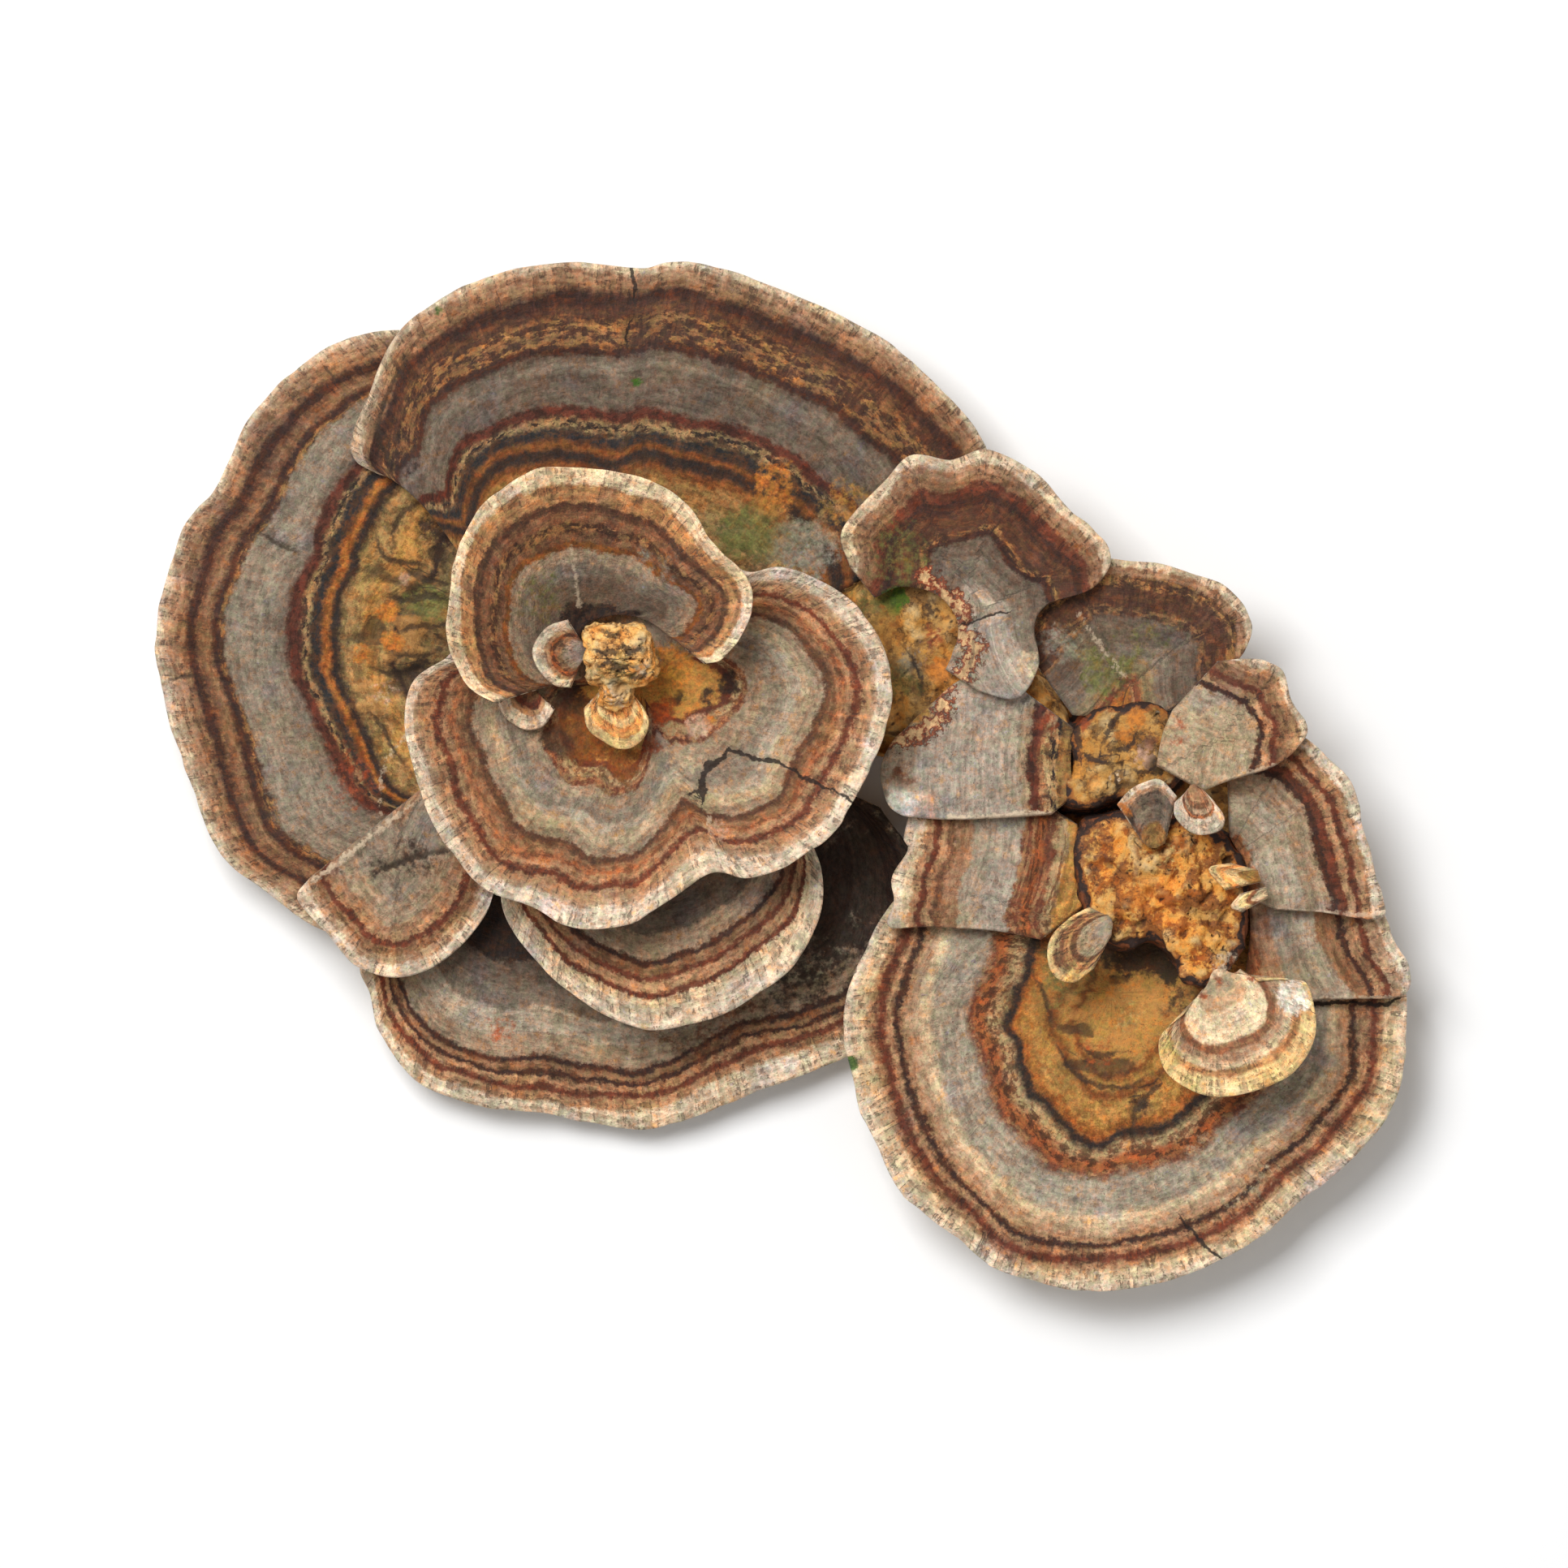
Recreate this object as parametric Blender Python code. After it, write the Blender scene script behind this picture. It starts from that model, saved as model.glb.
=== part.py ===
"""Turkey tail fungus: a cluster of two rosettes of thin overlapping caps, cut off flat where it grew.

The cluster lies with its caps facing up (+Z) and its long side along X. Each cap is a sheet between
a short root curve and a long margin, thick at the root and thin at the rim. Lengths are in
millimetres here and are turned into metres where a mesh is made. The origin is the middle of the
bounding box, on the flat cut.
"""

import math

import bmesh
import bpy
import numpy as np

MM = 0.001

# Thickness of the flesh
ROOT_THICK = 2.3
RIM_THICK = 0.9
SMALL_ROOT_THICK = 1.6
SMALL_RIM_THICK = 0.7

# Level of each cap's upper side at its root, from the cut upwards
SLAB_TOP = 5.0
BOTTOM_ROOT = 7.6
DISH_MIDDLE = 8.6
BACK_ROOT = 10.2
RIGHT_LOW_ROOT = 11.2
LEFT_LOBE_ROOT = 12.4
TOP_ROOT = 12.8
LOWER_LEFT_ROOT = 12.9
RIGHT_ROOT = 13.8
UPPER_RIGHT_ROOT = 15.2
CRESCENT_ROOT = 15.4
MIDDLE_ROOT = 15.4
UPPER_ROOT = 15.7
BOWL_MIDDLE = 18.0
SIDE_ROOT = 18.9
HORSESHOE_ROOT = 22.0

# The joining tissue that shows between the rosettes and in the small upper centre
PATCH_TOP = 13.1
UPPER_CENTRE_TOP = 16.4

# The knob and the lumpy centre, from their feet to their tops
KNOB_FOOT = 19.3
KNOB_TOP = 30.6
TISSUE_FOOT = 9.1
TISSUE_TOP = 17.9

# How finely a cap is divided from its root to its rim, above and below
UPPER_ROWS = (0.0, 0.35, 0.65, 0.9)
LOWER_ROWS = (0.9, 0.5, 0.0)
SMALL_UPPER_ROWS = (0.0, 0.4, 0.75, 0.93)
SMALL_LOWER_ROWS = (0.75, 0.0)
SMOOTH_STEPS = 12

# How the flesh thins towards the rim, and how a free edge bulges: over the first fifth of the
# margin, with the factor that makes the bulge's peak one
THINNING = 0.7
BOW_SPREAD = 0.2
BOW_PEAK = 6.75

# How finely each mound is divided along its outline
SLAB_STATIONS = 36
PATCH_STATIONS = 20
CROWN_STATIONS = 16
KNOB_STATIONS = 14
TISSUE_STATIONS = 28

WELD = 1e-7
SHARP_ANGLE = math.radians(50)
CAP_ROUGHNESS = 0.85
TISSUE_ROUGHNESS = 0.8


class Cap:
    """One cap: its root curve, and its margin as (x, y, z of the upper side)."""

    def __init__(self, name, root, root_z, margin, stations, colour, **shape):
        self.name = name
        self.root = root
        self.root_z = root_z
        self.margin = margin
        self.stations = stations
        self.colour = colour
        self.small = shape.get("small", False)
        self.disc = shape.get("disc", False)
        self.power = shape.get("power", 1.0)
        self.arch = shape.get("arch", 0.0)
        self.start_bow = shape.get("start_bow", 0.0)


# Colours of the caps' upper sides
BROWN = (0.30, 0.15, 0.08, 1.0)
GREY = (0.34, 0.29, 0.25, 1.0)
TAN = (0.52, 0.36, 0.24, 1.0)
CREAM = (0.75, 0.55, 0.35, 1.0)
OCHRE = (0.50, 0.26, 0.08, 1.0)

# Left rosette
LEFT_CAPS = (
    Cap(
        "cap_bottom",
        [(-34, -2), (-30, 10), (-16, 14), (-6, 4)],
        BOTTOM_ROOT,
        [(-46, -17, 6.4), (-52, -22.8, 6.0), (-51, -27, 5.8), (-49.8, -32, 5.6), (-45, -38, 5.4),
         (-38, -41, 5.2), (-30, -41.5, 5.4), (-24, -42.7, 5.0), (-17.5, -43.8, 5.2), (-11, -42.2, 5.6),
         (-3, -38.9, 5.4), (6, -35.7, 5.6), (13, -31, 5.4), (17, -22, 5.2), (17, -12, 5.2), (12, -4, 5.4)],
        36, BROWN, arch=0.3,
    ),
    Cap(
        "cap_left_back",
        [(-18, 14), (-26, 16), (-28, 8), (-22, 0)],
        BACK_ROOT,
        [(-40, 53.5, 8.6), (-47.5, 54.8, 8.9), (-55, 53.3, 8.6), (-61, 49.6, 8.2), (-66, 43.5, 8.8),
         (-69.5, 36.5, 8.2), (-74, 30.5, 7.9), (-76.6, 22, 8.6), (-77.4, 14, 8.0), (-75.2, 5.5, 8.4),
         (-73, -2, 7.9), (-70, -9.2, 8.4), (-64, -14.2, 8.0), (-57, -19, 8.3), (-49, -21, 8.0)],
        40, BROWN, arch=0.5,
    ),
    Cap(
        "cap_top",
        [(-30, 10), (-26, 20), (-16, 20), (-12, 11)],
        TOP_ROOT,
        [(-49.8, 37, 11.6), (-52.6, 38.6, 11.8), (-53.3, 41.5, 12.2), (-51, 46.8, 12.0), (-48.4, 53, 11.8),
         (-44, 57.5, 11.6), (-36, 61.5, 12.4), (-27, 63.2, 12.0), (-18.5, 62.5, 11.6), (-13, 63.5, 12.3),
         (-5, 61.5, 12.6), (5, 57.8, 11.9), (14, 52.5, 12.2), (20.5, 46.5, 11.8), (25.3, 40, 11.6),
         (27, 34.5, 11.5)],
        40, TAN, arch=0.5, start_bow=4.2,
    ),
    Cap(
        "cap_lower_left",
        [(-35, 6), (-31, 0), (-33, -6)],
        LOWER_LEFT_ROOT,
        [(-48, -1.5, 13.0), (-50.6, -7.6, 13.4), (-53, -10.4, 13.2), (-57, -11.5, 12.8), (-59.8, -14, 12.4),
         (-57, -19, 12.2), (-52.5, -23.6, 12.6), (-47, -24.9, 12.4), (-41, -22.2, 12.2), (-36.6, -17, 12.4),
         (-35.6, -13, 12.8)],
        22, GREY, arch=-0.4,
    ),
    Cap(
        "cap_crescent",
        [(-26, 8), (-20, 13), (-11, 8)],
        CRESCENT_ROOT,
        [(-34.6, -11, 15.6), (-34.6, -16.5, 16.0), (-31.5, -21.5, 16.4), (-26, -27, 16.4), (-19, -30.8, 16.0),
         (-14.5, -31.4, 16.2), (-8, -29.7, 16.6), (-2, -26.4, 16.8), (2.2, -22, 17.0), (4.5, -16.5, 16.8),
         (4.6, -11.5, 16.4), (2.5, -6, 16.0)],
        30, TAN, arch=-0.5,
    ),
    Cap(
        "cap_bowl",
        [(-17.5, 10.5)],
        BOWL_MIDDLE,
        [(-40.6, 15.6, 24.4), (-45.4, 11.5, 25.0), (-46.4, 6, 25.4), (-45.1, 0, 25.8), (-42.5, -7, 25.6),
         (-37, -13.6, 25.6), (-30, -16.4, 26.2), (-25.5, -18.7, 26.8), (-19, -18.3, 26.6), (-13, -14.8, 26.0),
         (-8.4, -11.9, 25.4), (-4, -12.6, 26.8), (2.5, -9.9, 27.0), (6.6, -6.8, 26.6), (9.3, -1.8, 25.6),
         (12.2, 5, 25.2), (13.2, 11.5, 25.4), (11, 18, 25.0), (5.4, 23.6, 24.2), (-0.5, 25.4, 23.6),
         (-5, 25, 22.6), (-10, 29.5, 22.2), (-18, 33.6, 22.0), (-26, 34.6, 22.0), (-33, 31, 22.2),
         (-38, 24.5, 22.8)],
        44, TAN, disc=True, power=1.6,
    ),
    Cap(
        "cap_horseshoe",
        [(-27, 11.5), (-26.6, 15.5), (-24.3, 19.4), (-20, 20.2), (-16.3, 18.8)],
        HORSESHOE_ROOT,
        [(-35.3, 8.8, 29.6), (-39.3, 11.5, 30.6), (-41.2, 18.5, 31.4), (-40, 26, 32.0), (-37.3, 32.4, 32.4),
         (-31.5, 36.7, 32.6), (-25, 37.8, 32.4), (-17, 36.3, 32.0), (-12, 33.3, 32.2), (-8.2, 28, 32.4),
         (-4.4, 23.6, 31.8), (-4.4, 19, 31.0), (-7.2, 14.4, 29.8), (-9.6, 13.6, 29.0)],
        34, TAN, power=1.2,
    ),
    Cap(
        "knob_cap",
        [(-22.6, 10.2), (-20.6, 9.7), (-18.6, 10.2)],
        24.6,
        [(-24.5, 8.2, 24.4), (-24, 5.5, 24.2), (-21.5, 3.7, 23.8), (-19, 3.2, 23.6), (-17, 4.6, 24.0),
         (-16.4, 6.6, 24.4), (-17.2, 8.4, 24.6)],
        12, CREAM, small=True,
    ),
    Cap(
        "small_cap_left",
        [(-25.1, 17), (-25.2, 15), (-25.1, 13)],
        26.2,
        [(-26.4, 19.1, 26.8), (-29, 18.1, 27.4), (-30.6, 15.6, 27.6), (-30, 12.9, 27.4), (-28.2, 11, 27.0),
         (-26, 10.7, 26.4)],
        12, TAN, small=True,
    ),
    Cap(
        "small_cap_under",
        [(-33.2, 10), (-31.2, 10.1), (-29.4, 9.4)],
        22.5,
        [(-35.1, 8.9, 22.8), (-34, 6.8, 22.8), (-31.6, 5.5, 22.8), (-29.4, 6, 22.7), (-28, 8.2, 22.6)],
        10, CREAM, small=True,
    ),
)

# Right rosette
RIGHT_CAPS = (
    Cap(
        "cap_bottom_right",
        [(40.5, -27)],
        DISH_MIDDLE,
        [(9.9, -21.8, 11.4), (7.5, -31, 11.2), (9.6, -40.8, 10.8), (13.8, -50.2, 11.2), (18.2, -54.6, 10.8),
         (26, -60.7, 11.0), (34, -63.1, 11.4), (42, -63.4, 11.2), (50, -61.4, 10.8), (58.5, -57.2, 11.2),
         (63.5, -53, 10.8), (71, -46.6, 11.0), (75.6, -40, 11.2), (76.7, -33, 11.0), (76.4, -25, 9.0),
         (70, -17, 8.7), (58, -10.5, 8.6), (42, -8.8, 8.6), (26, -9.6, 8.7), (15, -14.5, 9.6)],
        44, BROWN, disc=True, power=1.8,
    ),
    Cap(
        "cap_right_low",
        [(58.4, -15), (58.5, -20), (57.8, -25.4)],
        RIGHT_LOW_ROOT,
        [(72.4, -12, 12.6), (74.6, -19, 12.8), (77.2, -23.4, 13.0), (77.4, -26.4, 12.9), (75, -27.6, 12.6),
         (67, -27.6, 11.9), (61, -28, 11.4)],
        16, BROWN,
    ),
    Cap(
        "cap_left_lobe",
        [(35.4, -5.5), (35.1, -11), (36, -17)],
        LEFT_LOBE_ROOT,
        [(29, -1.4, 12.2), (21, -1.2, 12.4), (16.6, -3.4, 12.8), (15.1, -7.6, 13.0), (15.6, -9.2, 13.2),
         (13.4, -12.6, 13.2), (13.6, -15.4, 13.0), (12.9, -18.7, 12.8), (18, -18.7, 12.6), (26, -19.2, 12.4),
         (31.8, -20.3, 12.2)],
        26, TAN,
    ),
    Cap(
        "cap_right",
        [(54.9, -6.4), (57.9, -10.6), (58.2, -15.5)],
        RIGHT_ROOT,
        [(54.6, 1.6, 14.3), (59, 4.8, 14.8), (64, 4.8, 15.4), (66.9, 2, 15.8), (69.5, -0.7, 16.0),
         (71.4, -6, 15.8), (73, -12.4, 15.6), (73.8, -17.6, 15.4), (66, -16.9, 14.8), (60.6, -16.6, 14.2)],
        22, GREY,
    ),
    Cap(
        "cap_middle",
        [(35, 6.4), (34.4, 2), (34.8, -3.4)],
        MIDDLE_ROOT,
        [(28, 11.6, 14.8), (22.5, 12, 14.5), (17.5, 8.2, 14.9), (13.4, 4.2, 15.2), (12, 0.4, 15.8),
         (12.9, -3.4, 16.6), (14.6, -4.9, 16.8), (16.6, -3.7, 15.8), (20.6, -5.5, 15.2), (27, -5.3, 15.0),
         (33, -4.9, 15.2)],
        26, GREY,
    ),
    Cap(
        "cap_upper_right",
        [(35, 8.2), (41, 8.2), (48, 8.2)],
        UPPER_RIGHT_ROOT,
        [(30.4, 14.5, 15.0), (31.2, 21.8, 15.1), (36, 26.4, 15.2), (43.4, 26.3, 15.6), (49, 25.5, 16.0),
         (53.6, 23.7, 16.2), (56.8, 20.6, 16.4), (57.6, 17.6, 16.2), (56.2, 14.4, 16.0), (52.6, 11.4, 15.6)],
        24, BROWN,
    ),
    Cap(
        "cap_side",
        [(48.6, 8.8), (47.6, 5), (46.8, 0.6)],
        SIDE_ROOT,
        [(53.4, 14, 19.0), (57.2, 14.3, 19.4), (61.2, 13.1, 19.8), (62.7, 9.4, 20.0), (64.6, 5.2, 19.8),
         (61, 1.4, 19.4), (55.6, -0.4, 19.2), (51.6, -2.0, 19.0)],
        20, TAN,
    ),
    Cap(
        "cap_upper",
        [(10.6, 22.6), (14.5, 24.2), (19.5, 23), (22.4, 19.2), (21.8, 14.8), (20.8, 12.4)],
        UPPER_ROOT,
        [(8.2, 25.6, 16.6), (7.3, 30, 17.2), (11.8, 35.4, 17.0), (15.4, 39.5, 16.6), (20.6, 38.8, 17.0),
         (25.2, 40, 17.6), (31, 37.2, 18.2), (35, 33, 18.0), (38.6, 29.7, 18.4), (40.3, 26.4, 18.2),
         (38, 22.9, 17.9), (33, 21.3, 17.6), (30.7, 18.6, 17.6), (31.4, 13.4, 17.8), (28.6, 9.5, 17.6),
         (24, 10.3, 17.0)],
        36, BROWN,
    ),
    Cap(
        "stalked_cap",
        [(50.9, -27.2), (53.6, -24.8), (57, -24.4)],
        20.4,
        [(49.4, -29.2, 20.8), (46.2, -32.4, 21.4), (47.2, -36.6, 21.4), (52, -39.3, 21.0),
         (57.2, -39, 21.2), (62.8, -36.4, 21.8), (65.5, -31.6, 22.0), (64.4, -25.7, 21.8), (61, -25.2, 21.2),
         (58.4, -25.4, 20.8)],
        24, CREAM, small=True,
    ),
    Cap(
        "small_fan",
        [(38.8, -16.8), (39.6, -18.6), (39.9, -20.6)],
        18.4,
        [(37.6, -16.2, 18.6), (34.7, -17.9, 18.8), (32.6, -20.6, 18.8), (33, -24.2, 18.6),
         (35.6, -25.5, 18.4), (38.2, -23.8, 18.4)],
        14, TAN, small=True,
    ),
    Cap(
        "small_sheet",
        [(43.6, -7.4), (45.4, -8), (47.2, -7.4)],
        19.6,
        [(41, -3.6, 20.4), (43.1, -1.4, 20.8), (46.2, -0.5, 21.0), (48.4, -2.6, 20.6)],
        10, GREY, small=True,
    ),
    Cap(
        "white_cap",
        [(49.4, -2.4), (50.8, -1.7), (52.2, -2.2)],
        21.0,
        [(48, -3.4, 21.2), (48.2, -5.2, 21.4), (50.6, -7.3, 21.2), (53.4, -7, 21.2), (54.2, -5.2, 21.2),
         (52.8, -3, 21.0)],
        12, CREAM, small=True,
    ),
    Cap(
        "lobe_upper",
        [(57.8, -13.4), (57.4, -11.4)],
        17.0,
        [(54.4, -14.2, 17.6), (52.3, -11.5, 18.0), (55, -10.8, 17.8)],
        8, CREAM, small=True,
    ),
    Cap(
        "lobe_lower",
        [(58.8, -15.6), (58.4, -14)],
        17.0,
        [(56.4, -16.9, 17.4), (55, -16.2, 17.6), (56.2, -14.6, 17.4)],
        8, CREAM, small=True,
    ),
)


def smooth_curve(points, closed):
    """A dense Catmull-Rom curve through the points."""
    points = np.array(points, float)
    if len(points) == 1:
        return points
    if closed:
        path = np.vstack([points[-1], points, points[:2]])
    else:
        path = np.vstack([2 * points[0] - points[1], points, 2 * points[-1] - points[-2]])
    dense = []
    for before, start, end, after in zip(path, path[1:], path[2:], path[3:]):
        for step in range(SMOOTH_STEPS):
            t = step / SMOOTH_STEPS
            bend = (end - before) * t + (2 * before - 5 * start + 4 * end - after) * t**2
            bend += (3 * start - before - 3 * end + after) * t**3
            dense.append(start + bend / 2)
    dense.append(path[-2])
    return np.array(dense)


def along(curve, share):
    """The point at this share of the curve's length."""
    if len(curve) == 1:
        return curve[0]
    steps = np.linalg.norm(np.diff(curve[:, :2], axis=0), axis=1)
    length = np.concatenate([[0.0], np.cumsum(steps)])
    return np.array([np.interp(share * length[-1], length, axis) for axis in curve.T])


def side_bow(cap, share, row, direction):
    """Sideways bulge of the free edge where the margin starts, widest two thirds of the way out."""
    reach = max(0.0, 1 - share / BOW_SPREAD)
    sideways = np.array([direction[1], -direction[0]]) / np.linalg.norm(direction)
    return sideways * cap.start_bow * reach**2 * BOW_PEAK * row**2 * (1 - row)


def cap_point(cap, root, rim, share, row, below):
    """A point of the cap's upper or lower side, at this share of the margin and this row."""
    thick = SMALL_RIM_THICK if cap.small else RIM_THICK
    root_thick = SMALL_ROOT_THICK if cap.small else ROOT_THICK
    plan = root + (rim[:2] - root) * row
    if cap.start_bow:
        plan = plan + side_bow(cap, share, row, rim[:2] - root)
    height = cap.root_z + (rim[2] - cap.root_z) * row**cap.power
    height += cap.arch * 4 * row * (1 - row)
    if row == 1.0:
        height -= thick / 2
    elif below:
        height -= root_thick + (thick - root_thick) * row**THINNING
    return (plan[0] * MM, plan[1] * MM, height * MM)


def ring_rows(cap):
    """(row, below) of each point around a cap's section, from the root over the rim and back."""
    upper = SMALL_UPPER_ROWS if cap.small else UPPER_ROWS
    lower = SMALL_LOWER_ROWS if cap.small else LOWER_ROWS
    rows = [(row, False) for row in upper] + [(1.0, False)] + [(row, True) for row in lower]
    return rows if cap.disc else rows + [rows[0]]


def finish(name, bm, colour, roughness):
    """Turns the shape into an object with its own material."""
    bmesh.ops.remove_doubles(bm, verts=bm.verts, dist=WELD)
    open_edges = [edge for edge in bm.edges if edge.is_boundary]
    bmesh.ops.holes_fill(bm, edges=open_edges, sides=0)
    bmesh.ops.recalc_face_normals(bm, faces=bm.faces)
    mesh = bpy.data.meshes.new(name)
    bm.to_mesh(mesh)
    bm.free()
    mesh.shade_smooth()
    mesh.set_sharp_from_angle(angle=SHARP_ANGLE)
    material = bpy.data.materials.new(name)
    material.use_nodes = True
    shader = material.node_tree.nodes["Principled BSDF"]
    shader.inputs["Base Color"].default_value = colour
    shader.inputs["Roughness"].default_value = roughness
    shader.inputs["Metallic"].default_value = 0.0
    mesh.materials.append(material)
    made = bpy.data.objects.new(name, mesh)
    bpy.context.scene.collection.objects.link(made)
    return made


def wrapped_grid(columns, rows, place):
    """A grid whose points are put where place(column, row) says."""
    bm = bmesh.new()
    bmesh.ops.create_grid(bm, x_segments=columns, y_segments=rows, size=1)
    for vert in bm.verts:
        column = round((vert.co.x + 1) / 2 * columns)
        row = round((vert.co.y + 1) / 2 * rows)
        vert.co = place(column, row)
    return bm


def build_cap(cap):
    margin = smooth_curve(cap.margin, cap.disc)
    root_curve = smooth_curve(cap.root, False)
    rows = ring_rows(cap)

    def place(column, row):
        share = (column % cap.stations if cap.disc else column) / cap.stations
        return cap_point(cap, along(root_curve, share), along(margin, share), share, *rows[row])

    grid = wrapped_grid(cap.stations, len(rows) - 1, place)
    return finish(cap.name, grid, cap.colour, CAP_ROUGHNESS)


# A mound's rows, from its foot up and in to its middle: (share of the outline's reach, level),
# where level 1 is the outline's own shoulder and level 2 is the top
MOUND_ROWS = ((1.0, 0.0), (1.0, 0.9), (0.93, 1.0), (0.7, 1.5), (0.4, 1.9), (0.0, 2.0))
KNOB_ROWS = ((0.86, 0.0), (0.94, 0.5), (1.06, 0.9), (0.86, 1.4), (0.45, 1.8), (0.0, 2.0))

# The feet of the base's mounds reach this far under the cut, each a little deeper than the last,
# and a block of this size takes them off flat
FOOT_DEPTHS = (2.0, 2.4, 2.8)
CUT_BLOCK = 0.2

# Outlines of the mounds, as (x, y, z of the shoulder)
SLAB_OUTLINE = (
    (-33, 4, 4.8), (-27, 12, 4.8), (-16, 16, 4.8), (-3, 16, 4.8), (10, 22, 4.8), (22, 21, 4.8),
    (36, 13, 4.8), (50, 7, 4.8), (57, -6, 4.8), (55, -18, 4.8), (46, -25, 4.8), (36, -19, 4.8),
    (30, -6, 4.8), (18, 1, 4.8), (4, 3, 4.8), (-8, -4, 4.8), (-20, -8, 4.8), (-30, -4, 4.8),
)
PATCH_OUTLINE = (
    (-1, 10, 12.4), (2, 17.6, 12.5), (8, 22, 12.6), (14, 25.6, 12.8), (20.4, 24, 12.8), (25, 17, 12.6),
    (33, 10.6, 12.3), (34.6, 3, 12.3), (24, 2.6, 12.4), (13.5, 5, 12.6), (4, 4, 12.4),
)
CROWN_OUTLINE = (
    (35.6, -3, 15.7), (35.5, 2, 15.8), (36.6, 6.9, 15.9), (42, 7.4, 15.9), (48, 6.6, 15.8),
    (50.5, 3, 15.4), (48, -0.6, 15.6), (42, -3, 15.6),
)
TISSUE_OUTLINE = (
    (36.8, -5.6, 15.2), (36.0, -10.5, 15.0), (36.8, -16, 15.8), (39.4, -20.4, 16.2), (42.6, -21.4, 15.8),
    (45.4, -20.6, 15.8), (47.6, -22.6, 17.0), (49.8, -25.6, 18.2), (53, -25.6, 18.3), (56.0, -22, 16.2),
    (57.2, -17, 14.6), (57.2, -12, 14.4), (55, -8.2, 15.2), (51, -5.8, 16.4), (46, -4.6, 17.0),
    (41, -4.8, 16.2),
)
KNOB_OUTLINE = (
    (-24.5, 14.6, 29.0), (-23.9, 17.6, 29.6), (-20.4, 18.6, 29.2), (-17, 17.2, 29.6), (-16, 14, 29.0),
    (-17.2, 11.2, 27.2), (-20.4, 10.9, 26.6), (-23.3, 11.6, 27.4),
)


def build_mound(name, outline, foot, top, stations, colour, rows=MOUND_ROWS):
    """A lump of tissue that rises from its foot to a shoulder along its outline, and on to its top."""
    edge = smooth_curve(outline, True)
    middle = edge[:, :2].mean(axis=0)

    def place(column, row):
        point = along(edge, (column % stations) / stations)
        reach, level = rows[row]
        plan = middle + (point[:2] - middle) * reach
        height = foot + (point[2] - foot) * min(level, 1.0) + (top - point[2]) * max(level - 1.0, 0.0)
        return (plan[0] * MM, plan[1] * MM, height * MM)

    return finish(name, wrapped_grid(stations, len(rows) - 1, place), colour, TISSUE_ROUGHNESS)


def boolean(target, tool, operation):
    """Joins the tool to the target, or cuts it away, and leaves the tool out."""
    modifier = target.modifiers.new(operation.lower(), "BOOLEAN")
    modifier.operation = operation
    modifier.object = tool
    tool.hide_render = True
    tool.display_type = "WIRE"


def build_base():
    """The tissue that joins both rosettes, cut off flat where it grew on the wood."""
    base = build_mound("base", SLAB_OUTLINE, -FOOT_DEPTHS[0], SLAB_TOP, SLAB_STATIONS, OCHRE)
    patch = build_mound("patch", PATCH_OUTLINE, -FOOT_DEPTHS[1], PATCH_TOP, PATCH_STATIONS, OCHRE)
    crown = build_mound("crown", CROWN_OUTLINE, -FOOT_DEPTHS[2], UPPER_CENTRE_TOP, CROWN_STATIONS, OCHRE)
    bpy.ops.mesh.primitive_cube_add(size=CUT_BLOCK, location=(0, 0, -CUT_BLOCK / 2))
    wood = bpy.context.active_object
    wood.name = "wood"
    boolean(base, patch, "UNION")
    boolean(base, crown, "UNION")
    boolean(base, wood, "DIFFERENCE")


def main():
    for existing in list(bpy.data.objects):
        bpy.data.objects.remove(existing, do_unlink=True)
    build_base()
    for cap in LEFT_CAPS + RIGHT_CAPS:
        build_cap(cap)
    build_mound("knob", KNOB_OUTLINE, KNOB_FOOT, KNOB_TOP, KNOB_STATIONS, CREAM, KNOB_ROWS)
    build_mound("centre_tissue", TISSUE_OUTLINE, TISSUE_FOOT, TISSUE_TOP, TISSUE_STATIONS, OCHRE)


main()
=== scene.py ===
"""Turkey tail fungus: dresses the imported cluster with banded, fibrous caps and lumpy tissue.

Each cap is a grid laid between its root curve and its margin, with rounded rim, pale underside and
growth rings. Its colours follow the distance from the growing edge, band by band. Lengths in the
tables are in millimetres and are turned into metres where a mesh is made.
"""

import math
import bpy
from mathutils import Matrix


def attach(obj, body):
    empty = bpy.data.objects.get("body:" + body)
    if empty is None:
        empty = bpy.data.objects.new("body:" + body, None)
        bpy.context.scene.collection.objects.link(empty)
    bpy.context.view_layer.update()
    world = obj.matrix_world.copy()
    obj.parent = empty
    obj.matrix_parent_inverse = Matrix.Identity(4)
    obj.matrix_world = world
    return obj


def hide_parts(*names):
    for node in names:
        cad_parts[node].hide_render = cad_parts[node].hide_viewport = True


bl_info = {
    "name": "Turkey tail fungus",
    "version": (1, 0, 0),
    "blender": (4, 5, 0),
    "location": "View3D > Sidebar > Turkey tail",
    "description": "Dresses the packed cluster of caps with banded, fibrous skins and lumpy tissue",
    "category": "Object",
}

import bpy
import numpy as np
from bpy.props import FloatProperty, IntVectorProperty, PointerProperty
from mathutils import Vector, noise

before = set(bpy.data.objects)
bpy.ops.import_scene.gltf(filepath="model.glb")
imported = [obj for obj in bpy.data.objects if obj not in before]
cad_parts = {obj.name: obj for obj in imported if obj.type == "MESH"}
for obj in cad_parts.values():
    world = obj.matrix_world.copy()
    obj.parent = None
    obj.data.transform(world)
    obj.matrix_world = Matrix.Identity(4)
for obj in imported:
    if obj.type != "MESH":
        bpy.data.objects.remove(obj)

MM = 0.001

# The photograph's middle on the object and its width, in millimetres
VIEW_MIDDLE = (0.1, -1.1)
VIEW_WIDTH = 193.2

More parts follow.
